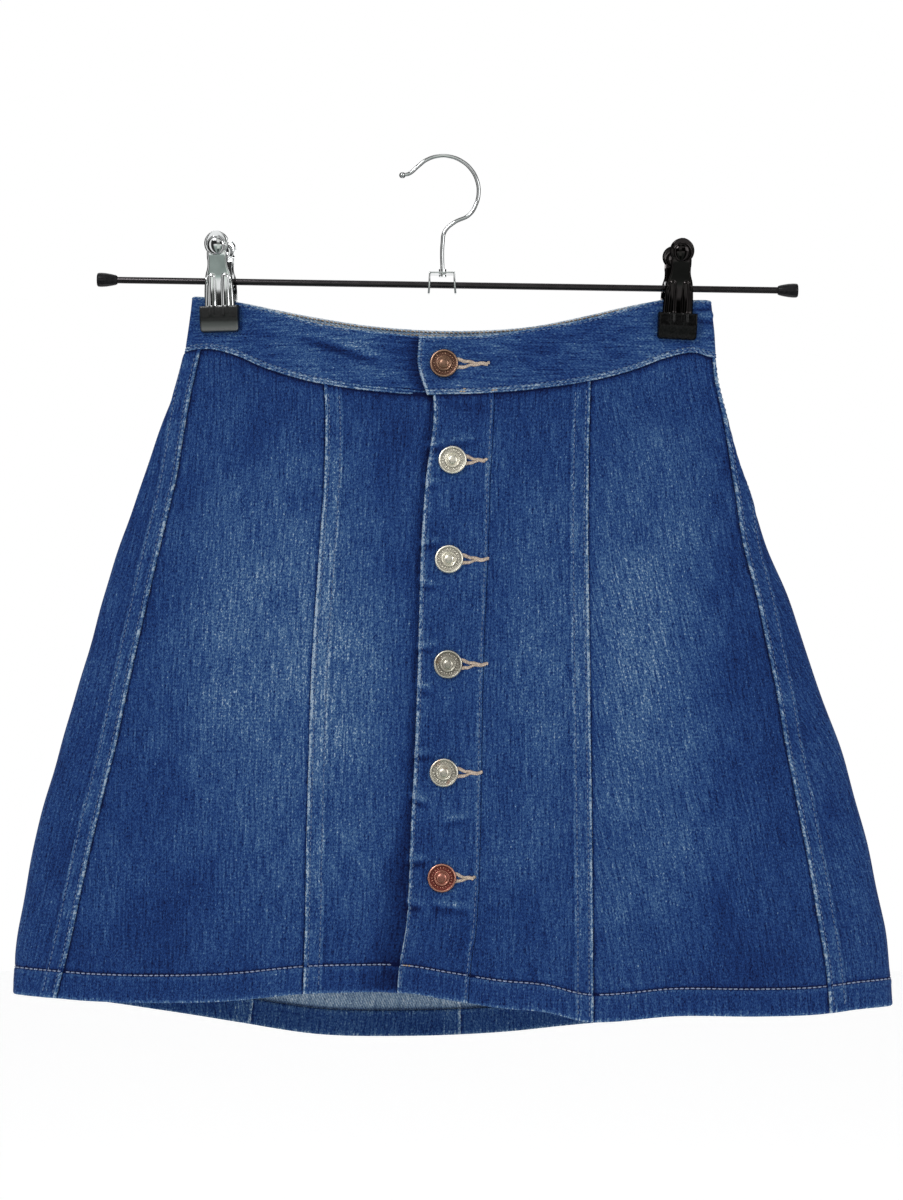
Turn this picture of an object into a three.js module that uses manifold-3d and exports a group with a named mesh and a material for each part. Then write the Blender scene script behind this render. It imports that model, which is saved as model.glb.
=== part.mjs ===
// A short A-line denim skirt that buttons down the front, hung by its waistband from a rod hanger with two
// clips. Millimetres, +Z up, +X to the viewer's right, the skirt's front towards -Y. Left and right are the
// viewer's. The origin is the top inside of the hook, the point that a rail or a peg carries.
import * as THREE from "three";
import { mergeVertices } from "three/addons/utils/BufferGeometryUtils.js";
import Module from "manifold-3d";

const wasm = await Module();
wasm.setup();

// Cloth: one layer of denim, and what the seams, the hem and the waistband add to it.
const DENIM = 1.2;
const SEAM_GAP = 0.3;
const FELL_WIDTH = 11; // the flat-felled band beside each long seam
const FELL_RISE = 0.7;
const FELL_SLOPE = 0.8; // the width over which the band's edge rises
const HEM_DEPTH = 16; // the turned-up hem, folded to the inside
const HEM_RISE = 1.3;
const HEM_STEP = 0.8; // the hem's inner layer thickens over this height
const HEM_FLAT = 1.4; // and stays flat down to here above the edge
const EDGE_ROUND = 0.4;
const HIDDEN_EDGE = 2; // the button stand stops this short of the placket's seam
const BAND = { outer: 0.7, inner: -1.9 };
const BAND_UNDER = { outer: -2.3, inner: -4.9 };
const PLACKET = { outer: 0.6, inner: -1.6, hem: 0 };
const STAND = { outer: -2, inner: -3.2 };
const STAND_SLOPE = 14; // the left front sinks under the placket over this width
const BUTTON_RADIUS = 8.5;
const HOLE_LENGTH = 22;
const HOLE_EYE = 2.9;
const HOLE_SLIT = 0.6;
const NECK_RADIUS = 2.4;
const POST_RADIUS = 1;
const DISC_RADIUS = 4; // the disc that holds a button's post from behind
const DISC_THICK = 0.9;

// Hanger.
const ROD_RADIUS = 2;
const ROD_HEIGHT = -77.6;
const ROD_TILT = THREE.MathUtils.degToRad(0.9);
const ROD_LEFT = -205;
const ROD_RIGHT = 210.4;
const FIT = 0.3;
const CLIP_YAW = THREE.MathUtils.degToRad(5.8);
const LEFT_CLIP = { x: -134.2, yaw: -CLIP_YAW, lean: THREE.MathUtils.degToRad(-0.9) };
const RIGHT_CLIP = { x: 141.3, yaw: CLIP_YAW, lean: THREE.MathUtils.degToRad(2.2) };
const GRIP = { left: 0.894, right: 0.866 }; // where they hold the waist, as shares of its half width

// The skirt's level sections, from the waist down. left and right are the outline. front and back are the depth
// of the hollow either side of its middle, bow is how far that middle comes forward between the clips, held is
// the share of the section that the clips keep flat, fold is the radius of the folded sides, and full shapes
// the curve.
const SECTIONS = [
  { z: -80, left: -150.3, right: 160.2, front: 5, back: 6, bow: 7, held: 0.62, fold: 2.05, full: 1.6 },
  { z: -104, left: -153, right: 163.2, front: 5, back: 6, bow: 7, held: 0.62, fold: 2.05, full: 1.6 },
  { z: -119, left: -155.7, right: 163.8, front: 5.5, back: 6.5, bow: 7, held: 0.62, fold: 2.05, full: 1.6 },
  { z: -136, left: -160.2, right: 165.6, front: 6.5, back: 8, bow: 7, held: 0.55, fold: 2.1, full: 1.5 },
  { z: -160, left: -168.6, right: 171, front: 9, back: 10.5, bow: 6, held: 0.4, fold: 2.3, full: 1.4 },
  { z: -196, left: -180.6, right: 181.8, front: 13, back: 14, bow: 4.5, held: 0.2, fold: 2.6, full: 1.25 },
  { z: -232, left: -193.2, right: 193.2, front: 17, back: 17, bow: 3, held: 0.08, fold: 2.9, full: 1.15 },
  { z: -268, left: -204, right: 207.6, front: 20, back: 20, bow: 2, held: 0, fold: 3, full: 1.1 },
  { z: -316, left: -217.2, right: 223.2, front: 23.5, back: 23, bow: 1, held: 0, fold: 3, full: 1.05 },
  { z: -364, left: -231, right: 240, front: 27, back: 25.5, bow: 0, held: 0, fold: 3, full: 1 },
  { z: -412, left: -243.6, right: 252.6, front: 30, back: 28, bow: 0, held: 0, fold: 3, full: 1 },
  { z: -460, left: -252, right: 262.8, front: 33, back: 30, bow: 0, held: 0, fold: 3, full: 1 },
  { z: -484, left: -255, right: 265.8, front: 34.5, back: 31, bow: 0, held: 0, fold: 3, full: 1 },
  { z: -508, left: -256.2, right: 267.6, front: 36, back: 32, bow: 0, held: 0, fold: 3, full: 1 },
  { z: -540, left: -257, right: 268.4, front: 37, back: 33, bow: 0, held: 0, fold: 3, full: 1 },
];

// Where the long seams cross each level. The side seams are given by how far they lie in from the outline, on
// the front; the others by x. placket is the free edge of the button front and stand is the seam that holds it.
const SEAMS = [
  { z: -87, rightSide: 1.5, rightFront: 88.8, stand: 30.6, placket: -14.5, leftFront: -71.5, leftSide: 8.5 },
  { z: -136, rightSide: 1.5, rightFront: 88.5, stand: 30.6, placket: -7, leftFront: -71.3, leftSide: 10 },
  { z: -160, rightSide: 2.2, rightFront: 87.8, stand: 30.3, placket: -5.6, leftFront: -70.3, leftSide: 14 },
  { z: -196, rightSide: 7.3, rightFront: 86.9, stand: 28.2, placket: -10, leftFront: -70.8, leftSide: 20.4 },
  { z: -232, rightSide: 14, rightFront: 86.5, stand: 27.2, placket: -12.6, leftFront: -73, leftSide: 25.2 },
  { z: -268, rightSide: 20, rightFront: 86.7, stand: 25.6, placket: -13.8, leftFront: -75.4, leftSide: 28 },
  { z: -316, rightSide: 26.2, rightFront: 87.2, stand: 23.8, placket: -15, leftFront: -78, leftSide: 31 },
  { z: -364, rightSide: 35, rightFront: 87.5, stand: 22.8, placket: -16.8, leftFront: -79.2, leftSide: 35 },
  { z: -412, rightSide: 38.8, rightFront: 87.8, stand: 22, placket: -19.2, leftFront: -80.2, leftSide: 36 },
  { z: -460, rightSide: 41, rightFront: 88, stand: 19.8, placket: -21.4, leftFront: -80.7, leftSide: 34.5 },
  { z: -484, rightSide: 40.4, rightFront: 88, stand: 16.4, placket: -25.6, leftFront: -81.3, leftSide: 32 },
  { z: -508, rightSide: 40, rightFront: 88, stand: 14.8, placket: -27.3, leftFront: -81.9, leftSide: 27.6 },
  { z: -540, rightSide: 39.5, rightFront: 88, stand: 14, placket: -28, leftFront: -82.5, leftSide: 26 },
];

// The back's long seams run straight from the waist to the hem.
const BACK_SEAMS = {
  backLeft: { waist: -66, hem: -116 },
  backMiddle: { waist: 6, hem: 10.8 },
  backRight: { waist: 78, hem: 128 },
};
const WAIST_LEVEL = -140;
const HEM_LEVEL = -520;

// The waistband's top edge, the seam under it and the hem, by degrees round the skirt: 0 is the right side, 90
// the middle of the front, 180 the left side and 270 the middle of the back.
const EDGES = [
  { turn: 0, top: -87, seam: -122, hem: -509.4 },
  { turn: 12, top: -86.6, seam: -121.3, hem: -510 },
  { turn: 24, top: -86.8, seam: -118.8, hem: -511.2 },
  { turn: 36, top: -87, seam: -122.5, hem: -514 },
  { turn: 48, top: -92.6, seam: -131, hem: -514.5 },
  { turn: 60, top: -100, seam: -138, hem: -514.2 },
  { turn: 72, top: -105.5, seam: -142.7, hem: -517.3 },
  { turn: 78, top: -108.2, seam: -144.4, hem: -511.5 },
  { turn: 84, top: -110.2, seam: -145.6, hem: -509 },
  { turn: 90, top: -110.6, seam: -146, hem: -504.6 },
  { turn: 96, top: -110.4, seam: -146, hem: -500.4 },
  { turn: 108, top: -107, seam: -143, hem: -500.6 },
  { turn: 120, top: -102.4, seam: -137.6, hem: -505.2 },
  { turn: 132, top: -94.5, seam: -129.6, hem: -506.6 },
  { turn: 144, top: -89, seam: -120.6, hem: -506 },
  { turn: 156, top: -85.6, seam: -116.8, hem: -504.2 },
  { turn: 180, top: -84.6, seam: -118.8, hem: -502.8 },
  { turn: 204, top: -86.6, seam: -118, hem: -506.4 },
  { turn: 216, top: -88.4, seam: -120.6, hem: -508.6 },
  { turn: 228, top: -93, seam: -128, hem: -514.2 },
  { turn: 240, top: -98, seam: -134.5, hem: -521.5 },
  { turn: 252, top: -102.5, seam: -139.5, hem: -528.8 },
  { turn: 264, top: -105, seam: -142.4, hem: -530.2 },
  { turn: 276, top: -105.2, seam: -142.6, hem: -528 },
  { turn: 288, top: -102.8, seam: -140, hem: -522.8 },
  { turn: 300, top: -97, seam: -135, hem: -517.5 },
  { turn: 312, top: -91, seam: -129, hem: -514 },
  { turn: 324, top: -87.2, seam: -122.5, hem: -512 },
  { turn: 348, top: -86.8, seam: -121.3, hem: -509.8 },
  { turn: 360, top: -87, seam: -122, hem: -509.4 },
];

// The largest folds: soft troughs (depth above zero goes inwards) and ridges, each along a line from its top to
// its end, on the front or the back. They are deepest halfway; an end below the hem lets one run out there.
const FOLDS = [
  { front: true, topX: -18, topZ: -392, endX: -36, endZ: -540, width: 8, depth: 5 },
  { front: true, topX: -4, topZ: -440, endX: -8, endZ: -580, width: 13, depth: -3 },
  { front: true, topX: -118, topZ: -330, endX: -150, endZ: -580, width: 26, depth: -3.5 },
  { front: true, topX: -52, topZ: -350, endX: -62, endZ: -580, width: 18, depth: -2.5 },
  { front: true, topX: 62, topZ: -330, endX: 70, endZ: -580, width: 22, depth: -4 },
  { front: true, topX: 122, topZ: -320, endX: 138, endZ: -580, width: 22, depth: 3 },
  { front: true, topX: 165, topZ: -330, endX: 192, endZ: -580, width: 22, depth: -3 },
  { front: false, topX: -120, topZ: -300, endX: -150, endZ: -580, width: 26, depth: -4 },
  { front: false, topX: -58, topZ: -330, endX: -68, endZ: -580, width: 22, depth: 3.5 },
  { front: false, topX: 60, topZ: -320, endX: 72, endZ: -580, width: 24, depth: -4 },
  { front: false, topX: 120, topZ: -300, endX: 146, endZ: -580, width: 24, depth: 3.5 },
];

// Buttons down the placket; the first is on the waistband.
const BUTTONS = [
  { x: 0.6, z: -127.5 },
  { x: 5.7, z: -186 },
  { x: 3.6, z: -245.5 },
  { x: 3, z: -308 },
  { x: 0.6, z: -372 },
  { x: -0.6, z: -433.6 },
];

const clamp = (value) => Math.min(1, Math.max(0, value));
const ease = (value) => clamp(value) ** 2 * (3 - 2 * clamp(value));
const mix = THREE.MathUtils.lerp;
const radians = THREE.MathUtils.degToRad;

// Reads one column of a table at a place between its rows, on a smooth curve through them.
function along(table, key, column, place) {
  const rising = table[table.length - 1][key] > table[0][key];
  const passed = (i) => (rising ? table[i][key] < place : table[i][key] > place);
  let row = 0;
  while (row < table.length - 2 && passed(row + 1)) row += 1;
  const slope = (i) => {
    const before = table[Math.max(0, i - 1)];
    const after = table[Math.min(table.length - 1, i + 1)];
    return (after[column] - before[column]) / (after[key] - before[key]);
  };
  const [a, b] = [table[row], table[row + 1]];
  const span = b[key] - a[key];
  const t = clamp((place - a[key]) / span);
  const [t2, t3] = [t * t, t * t * t];
  return (
    (2 * t3 - 3 * t2 + 1) * a[column] +
    (t3 - 2 * t2 + t) * span * slope(row) +
    (3 * t2 - 2 * t3) * b[column] +
    (t3 - t2) * span * slope(row + 1)
  );
}

function sectionAt(z) {
  const read = (column) => along(SECTIONS, "z", column, z);
  return {
    centre: (read("left") + read("right")) / 2,
    half: (read("right") - read("left")) / 2,
    front: read("front"),
    back: read("back"),
    bow: read("bow"),
    held: Math.max(0, read("held")),
    fold: read("fold"),
    full: read("full"),
  };
}

// How far the folds push the cloth inwards at a point of the front or the back.
function foldDepth(onFront, x, z) {
  let depth = 0;
  for (const fold of FOLDS) {
    if (fold.front !== onFront) continue;
    const down = (fold.topZ - z) / (fold.topZ - fold.endZ);
    if (down <= 0 || down >= 1) continue;
    const off = (x - mix(fold.topX, fold.endX, down)) / fold.width;
    depth += fold.depth * Math.exp(-off * off) * Math.sin(Math.PI * down) ** 0.8;
  }
  return depth;
}

// A point of the skirt's outer face, by its turn round the skirt in degrees and its height.
function facePoint(turn, z) {
  const s = sectionAt(z);
  const across = Math.cos(radians(turn));
  const rise = Math.abs(Math.sin(radians(turn)));
  const onFront = Math.sin(radians(turn)) > 0;
  const x = s.centre + s.half * across;
  const fromEnd = (s.half * (1 - Math.abs(across))) / s.fold;
  const rounded = fromEnd < 1 ? Math.sqrt(1 - (1 - fromEnd) ** 2) : 1;
  const open = clamp((rise - s.held) / (1 - s.held)) ** s.full;
  const hollow = (onFront ? s.front : s.back) * open;
  const depth = s.fold * rounded + hollow - rise * foldDepth(onFront, x, z);
  const middle = -s.bow * (1 - (across / (across < 0 ? GRIP.left : GRIP.right)) ** 2);
  return new THREE.Vector3(x, middle + (onFront ? -depth : depth), z);
}

const STEP_TURN = 0.4;
const STEP_Z = 0.5;
function faceTangents(turn, z) {
  const round = facePoint(turn + STEP_TURN, z).sub(facePoint(turn - STEP_TURN, z));
  round.divideScalar(2 * STEP_TURN);
  const up = facePoint(turn, z + STEP_Z).sub(facePoint(turn, z - STEP_Z)).normalize();
  return { round, up, out: up.clone().cross(round).normalize() };
}

// The same point moved out from the face by lift; below zero is inside it.
function clothPoint(turn, z, lift) {
  return facePoint(turn, z).addScaledVector(faceTangents(turn, z).out, lift);
}

const edgeHeight = (name, turn) => along(EDGES, "turn", name, ((turn % 360) + 360) % 360);

// The turn of a point of the front, by its x.
function frontTurn(x, z) {
  const s = sectionAt(z);
  return THREE.MathUtils.radToDeg(Math.acos(Math.min(1, Math.max(-1, (x - s.centre) / s.half))));
}

const ROUND_BEFORE_BAND = 3; // degrees
// The turn of a named seam at a height. Beside the seams there are the folded sides, leftRound and rightRound,
// and rightBand, the inner edge of the right side seam's felled band; those on the right follow the back round
// past 360.
function seamTurn(name, z) {
  const s = sectionAt(z);
  if (name in BACK_SEAMS) {
    const { waist, hem } = BACK_SEAMS[name];
    return 360 - frontTurn(mix(waist, hem, (z - WAIST_LEVEL) / (HEM_LEVEL - WAIST_LEVEL)), z);
  }
  if (name === "leftRound") return 180;
  if (name === "rightSideRound") return 360 + seamTurn("rightSide", z);
  if (name === "rightBand") {
    const seam = seamTurn("rightSideRound", z);
    return seam - FELL_WIDTH / faceTangents(seam, z).round.length();
  }
  if (name === "rightRound") return Math.min(360, seamTurn("rightBand", z) - ROUND_BEFORE_BAND);
  const place = along(SEAMS, "z", name, z);
  if (name === "rightSide") return frontTurn(s.centre + s.half - Math.max(0, place), z);
  if (name === "leftSide") return frontTurn(s.centre - s.half + place, z);
  return frontTurn(place, z);
}

// Rows of a panel, from the waist seam to the hem: each gives its height from the two edges at a turn.
const BODY_ROWS = 14;
function panelRows() {
  const rows = [];
  for (let i = 0; i <= BODY_ROWS; i += 1) {
    rows.push({
      height: (turn) => {
        const top = edgeHeight("seam", turn) - SEAM_GAP / 2;
        return mix(top, edgeHeight("hem", turn) + HEM_DEPTH, i / BODY_ROWS);
      },
      inside: 0,
      round: 0,
    });
  }
  const hemRow = (above, inside, round) => ({
    height: (turn) => edgeHeight("hem", turn) + above,
    inside,
    round,
  });
  return [
    ...rows,
    hemRow(HEM_DEPTH - HEM_STEP, HEM_RISE, 0),
    hemRow(HEM_FLAT, HEM_RISE, 0),
    hemRow(0, HEM_RISE - EDGE_ROUND, EDGE_ROUND),
  ];
}

// Where a column of a panel crosses a row. A column lies a share of the way from one seam to another, moved on
// by some millimetres. Height and turn depend on each other, so a few rounds settle them.
const SETTLING_ROUNDS = 5;
function crossing(column, row) {
  let turn = 90;
  let z = row.height(turn);
  for (let round = 0; round < SETTLING_ROUNDS; round += 1) {
    const start = seamTurn(column.from, z);
    const end = column.to ? seamTurn(column.to, z) : start;
    turn = mix(start, end, column.share ?? 0);
    if (column.mm) turn += column.mm / faceTangents(turn, z).round.length();
    z = row.height(turn);
  }
  return { turn, z };
}

// Columns at some shares of the way between two seams.
const share = (from, to, ...shares) => shares.map((value) => ({ from, to, share: value }));

// The raised band of a flat-felled seam, beside the seam where the panel starts or where it ends.
function felled(seam, side) {
  const columns = [
    { from: seam, mm: side * (SEAM_GAP / 2), rise: FELL_RISE },
    { from: seam, mm: side * (FELL_WIDTH - FELL_SLOPE), rise: FELL_RISE },
    { from: seam, mm: side * FELL_WIDTH },
  ];
  return side > 0 ? columns : columns.reverse();
}

const plainEdge = (seam, side) => ({ from: seam, mm: (side * SEAM_GAP) / 2 });

// A closed wall between an outer and an inner grid of points, rows down and columns round.
function wall(outer, inner) {
  const rows = outer.length;
  const columns = outer[0].length;
  const points = [...outer.flat(), ...inner.flat()];
  const at = (row, column, layer) => layer * rows * columns + row * columns + column;
  const faces = [];
  const quad = (a, b, c, d) => faces.push(a, b, c, a, c, d);
  for (let r = 0; r < rows - 1; r += 1) {
    for (let c = 0; c < columns - 1; c += 1) {
      quad(at(r, c, 0), at(r, c + 1, 0), at(r + 1, c + 1, 0), at(r + 1, c, 0));
      quad(at(r, c, 1), at(r + 1, c, 1), at(r + 1, c + 1, 1), at(r, c + 1, 1));
    }
  }
  for (let c = 0; c < columns - 1; c += 1) {
    quad(at(0, c, 1), at(0, c + 1, 1), at(0, c + 1, 0), at(0, c, 0));
    quad(at(rows - 1, c, 0), at(rows - 1, c + 1, 0), at(rows - 1, c + 1, 1), at(rows - 1, c, 1));
  }
  for (let r = 0; r < rows - 1; r += 1) {
    quad(at(r, 0, 0), at(r + 1, 0, 0), at(r + 1, 0, 1), at(r, 0, 1));
    quad(at(r, columns - 1, 1), at(r + 1, columns - 1, 1), at(r + 1, columns - 1, 0), at(r, columns - 1, 0));
  }
  const geometry = new THREE.BufferGeometry().setFromPoints(points);
  geometry.setIndex(faces);
  return geometry;
}

// A panel of the skirt from its columns. lifts gives the outer and inner lift at a point, a plain layer by
// default.
function panel(columns, lifts = () => ({ outer: 0, inner: -DENIM })) {
  const rows = panelRows();
  const grid = rows.map((row) =>
    columns.map((column) => {
      const { turn, z } = crossing(column, row);
      const lift = lifts(turn, z);
      return {
        outer: clothPoint(turn, z, lift.outer + (column.rise ?? 0) - row.round),
        inner: clothPoint(turn, z, lift.inner - row.inside * (lift.hem ?? 1)),
      };
    }),
  );
  return wall(
    grid.map((row) => row.map((p) => p.outer)),
    grid.map((row) => row.map((p) => p.inner)),
  );
}

// A frame on the face of the skirt: x to the right, y up and z straight out of the cloth.
function faceFrame({ x, z }) {
  const turn = frontTurn(x, z);
  const { round, out } = faceTangents(turn, z);
  const right = round.clone().negate().normalize();
  const up = out.clone().cross(right);
  return new THREE.Matrix4().makeBasis(right, up, out).setPosition(facePoint(turn, z));
}

function solidOf(geometry) {
  const bare = geometry.clone();
  bare.deleteAttribute("normal");
  bare.deleteAttribute("uv");
  const merged = mergeVertices(bare, 1e-4);
  return new wasm.Manifold(
    new wasm.Mesh({
      numProp: 3,
      vertProperties: new Float32Array(merged.attributes.position.array),
      triVerts: new Uint32Array(merged.index.array),
    }),
  );
}

function geometryOf(solid) {
  const mesh = solid.getMesh();
  const geometry = new THREE.BufferGeometry();
  geometry.setAttribute("position", new THREE.BufferAttribute(new Float32Array(mesh.vertProperties), 3));
  geometry.setIndex(new THREE.BufferAttribute(new Uint32Array(mesh.triVerts), 1));
  return geometry;
}

const joined = (...shapes) => geometryOf(shapes.map(solidOf).reduce((sum, next) => sum.add(next)));
const cut = (shape, ...tools) => {
  return geometryOf(tools.map(solidOf).reduce((sum, tool) => sum.subtract(tool), solidOf(shape)));
};

function material(color, roughness, metalness) {
  return new THREE.MeshStandardMaterial({ color, roughness, metalness });
}
const denim = material(0x32588f, 0.9, 0);
const denimDark = material(0x294a80, 0.9, 0);
const chrome = material(0xc8ccd0, 0.12, 1);
const darkChrome = material(0x3a3a3f, 0.3, 1);
const aged = material(0x9a8f86, 0.4, 1);
const rubber = material(0x0c0c0e, 0.55, 0);

const skirt = new THREE.Group();
const hanger = new THREE.Group();
const part = new THREE.Group();
part.add(skirt, hanger);

function add(group, name, geometry, look) {
  const mesh = new THREE.Mesh(geometry, look);
  mesh.name = name;
  group.add(mesh);
  return mesh;
}

// Round pieces and the cloth's tools: a keyhole buttonhole, and the hole that a button's post goes through.
const ROUND = 12;
const TOOL_REACH = 1.5;
const TOOL_MARGIN = 0.2;
function disc(radius, low, high) {
  const turned = new THREE.CylinderGeometry(radius, radius, high - low, ROUND);
  return turned.rotateX(Math.PI / 2).translate(0, 0, (low + high) / 2);
}
function alongX(radius, length) {
  return new THREE.CylinderGeometry(radius, radius, length, ROUND).rotateZ(Math.PI / 2);
}
function keyhole(site, layer) {
  const [low, high] = [layer.inner - TOOL_MARGIN, layer.outer + TOOL_REACH];
  const slit = new THREE.BoxGeometry(HOLE_LENGTH, HOLE_SLIT, high - low);
  slit.translate(HOLE_LENGTH / 2, 0, (low + high) / 2);
  return joined(disc(HOLE_EYE, low, high), slit).applyMatrix4(faceFrame(site));
}
function postHole(site, layer) {
  const post = disc(POST_RADIUS + FIT, layer.inner - TOOL_REACH, layer.outer + TOOL_MARGIN);
  return post.applyMatrix4(faceFrame(site));
}

// Front panels. The left one runs on under the placket as the button stand.
function buildFront() {
  const sites = BUTTONS.slice(1);
  const rightSide = [
    plainEdge("rightSide", 1),
    ...share("rightSide", "rightFront", 0.035, 0.07, 0.12, 0.2, 0.34, 0.5, 0.67, 0.84),
    plainEdge("rightFront", -1),
  ];
  add(skirt, "front_right_side", panel(rightSide), denim);

  const rightCentre = [
    ...felled("rightFront", 1),
    ...share("rightFront", "stand", 0.45, 0.72),
    plainEdge("stand", -1),
  ];
  add(skirt, "front_right_centre", panel(rightCentre), denim);

  const placketColumns = [
    plainEdge("stand", 1),
    ...share("stand", "placket", 0.33, 0.66),
    { from: "placket", mm: -1 },
    { from: "placket", rise: -EDGE_ROUND },
  ];
  const placket = panel(placketColumns, () => PLACKET);
  add(skirt, "buttonhole_placket", cut(placket, ...sites.map((site) => keyhole(site, PLACKET))), denimDark);

  const standColumns = [
    { from: "stand", mm: HIDDEN_EDGE },
    ...share("stand", "placket", 0.33, 0.66),
    { from: "placket", mm: -1 },
    { from: "placket" },
    { from: "placket", mm: STAND_SLOPE / 2 },
    { from: "placket", mm: STAND_SLOPE },
    ...share("placket", "leftFront", 0.5, 0.7),
    ...felled("leftFront", -1),
  ];
  const sunk = (turn, z) => {
    const past = (turn - seamTurn("placket", z)) * faceTangents(turn, z).round.length();
    const outer = STAND.outer * (1 - ease((past - 1) / STAND_SLOPE));
    return { outer, inner: outer - DENIM };
  };
  const leftCentre = panel(standColumns, sunk);
  add(skirt, "front_left_centre", cut(leftCentre, ...sites.map((site) => postHole(site, STAND))), denim);

  const leftSide = [
    plainEdge("leftFront", 1),
    ...share("leftFront", "leftSide", 0.17, 0.34, 0.5, 0.67, 0.84),
    plainEdge("leftSide", -1),
  ];
  add(skirt, "front_left_side", panel(leftSide), denim);
}

// Back panels: two centre pieces, and two side pieces that wrap round to the side seams on the front.
function buildBack() {
  const leftSide = [
    ...felled("leftSide", 1),
    ...share("leftSide", "leftRound", 0.74, 0.88, 1),
    ...share("leftRound", "backLeft", 0.05, 0.11, 0.2, 0.33, 0.48, 0.62, 0.76),
    ...felled("backLeft", -1),
  ];
  add(skirt, "back_left_side", panel(leftSide), denim);

  const leftCentre = [
    plainEdge("backLeft", 1),
    ...share("backLeft", "backMiddle", 0.2, 0.4, 0.6, 0.78),
    ...felled("backMiddle", -1),
  ];
  add(skirt, "back_left_centre", panel(leftCentre), denim);

  const rightCentre = [
    plainEdge("backMiddle", 1),
    ...share("backMiddle", "backRight", 0.22, 0.45, 0.7),
    ...felled("backRight", -1),
  ];
  add(skirt, "back_right_centre", panel(rightCentre), denim);

  const rightSide = [
    plainEdge("backRight", 1),
    ...share("backRight", "rightRound", 0.2, 0.4, 0.57, 0.72, 0.84, 0.93, 1),
    ...share("rightRound", "rightBand", 0.33, 0.66, 1),
    ...[FELL_WIDTH - FELL_SLOPE, 7.5, 5, 2.5, SEAM_GAP / 2].map((mm) => {
      return { from: "rightSideRound", mm: -mm, rise: FELL_RISE };
    }),
  ];
  add(skirt, "back_right_side", panel(rightSide), denim);
}

// The waistband is one strip all round. It starts under the button front, goes round by the left side and
// the back, and its other end laps over the start.
const BAND_START = 82;
const BAND_END = [
  { down: 0, x: -14.4 },
  { down: 0.5, x: -15 },
  { down: 1, x: -9.6 },
];
const BAND_ROWS = [
  { down: 0, round: EDGE_ROUND },
  { down: 0.05, round: 0 },
  { down: 0.5, round: 0 },
  { down: 0.95, round: 0 },
  { down: 1, round: EDGE_ROUND },
];
function bandTurns() {
  const turns = [];
  const run = (from, to, count) => {
    for (let i = 0; i < count; i += 1) turns.push(mix(from, to, i / count));
  };
  run(BAND_START, 97, 2);
  run(97, 112, 3);
  run(112, 168, 10);
  run(168, 192, 10);
  run(192, 348, 22);
  run(348, 372, 10);
  run(372, 450, 13);
  turns.push(450);
  return turns;
}
function buildWaistband() {
  const turns = bandTurns();
  const grid = BAND_ROWS.map(({ down, round }) => {
    const heightAt = (turn) => mix(edgeHeight("top", turn), edgeHeight("seam", turn) + SEAM_GAP / 2, down);
    const lapEnd = 360 + frontTurn(along(BAND_END, "down", "x", down), heightAt(97));
    return [...turns, lapEnd].map((turn) => {
      const z = heightAt(turn);
      const past = (turn - lapEnd + 360) * faceTangents(turn, z).round.length();
      const under = 1 - ease((past - 1) / STAND_SLOPE);
      return {
        outer: clothPoint(turn, z, mix(BAND.outer, BAND_UNDER.outer, under) - round),
        inner: clothPoint(turn, z, mix(BAND.inner, BAND_UNDER.inner, under)),
      };
    });
  });
  const strip = wall(
    grid.map((row) => row.map((p) => p.outer)),
    grid.map((row) => row.map((p) => p.inner)),
  );
  const site = BUTTONS[0];
  add(skirt, "waistband", cut(strip, keyhole(site, BAND), postHole(site, BAND_UNDER)), denim);
}

// A shank button: a domed cap over the buttonhole, a neck through it, and a post through the layer below that
// a small disc holds from behind. Heights are along the button's own axis, out of the cloth.
function buttonProfile(cover, base) {
  const seat = cover.outer + FIT;
  const back = base.inner - FIT;
  return [
    [0, back - DISC_THICK],
    [DISC_RADIUS, back - DISC_THICK],
    [DISC_RADIUS, back],
    [POST_RADIUS, back],
    [POST_RADIUS, base.outer + FIT],
    [NECK_RADIUS, base.outer + FIT],
    [NECK_RADIUS, seat],
    [BUTTON_RADIUS - 0.9, seat],
    [BUTTON_RADIUS, seat + 0.8],
    [BUTTON_RADIUS - 0.2, seat + 2.1],
    [BUTTON_RADIUS - 1.1, seat + 2.7],
    [BUTTON_RADIUS - 2.2, seat + 2.2],
    [3, seat + 2.4],
    [2.2, seat + 2.9],
    [0, seat + 3.1],
  ].map(([radius, height]) => new THREE.Vector2(radius, height));
}
function buildButtons() {
  BUTTONS.forEach((site, i) => {
    const onBand = i === 0;
    const profile = buttonProfile(onBand ? BAND : PLACKET, onBand ? BAND_UNDER : STAND);
    const geometry = new THREE.LatheGeometry(profile, ROUND).rotateX(Math.PI / 2);
    add(skirt, `button_${i + 1}`, geometry.applyMatrix4(faceFrame(site)), aged);
  });
}

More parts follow.
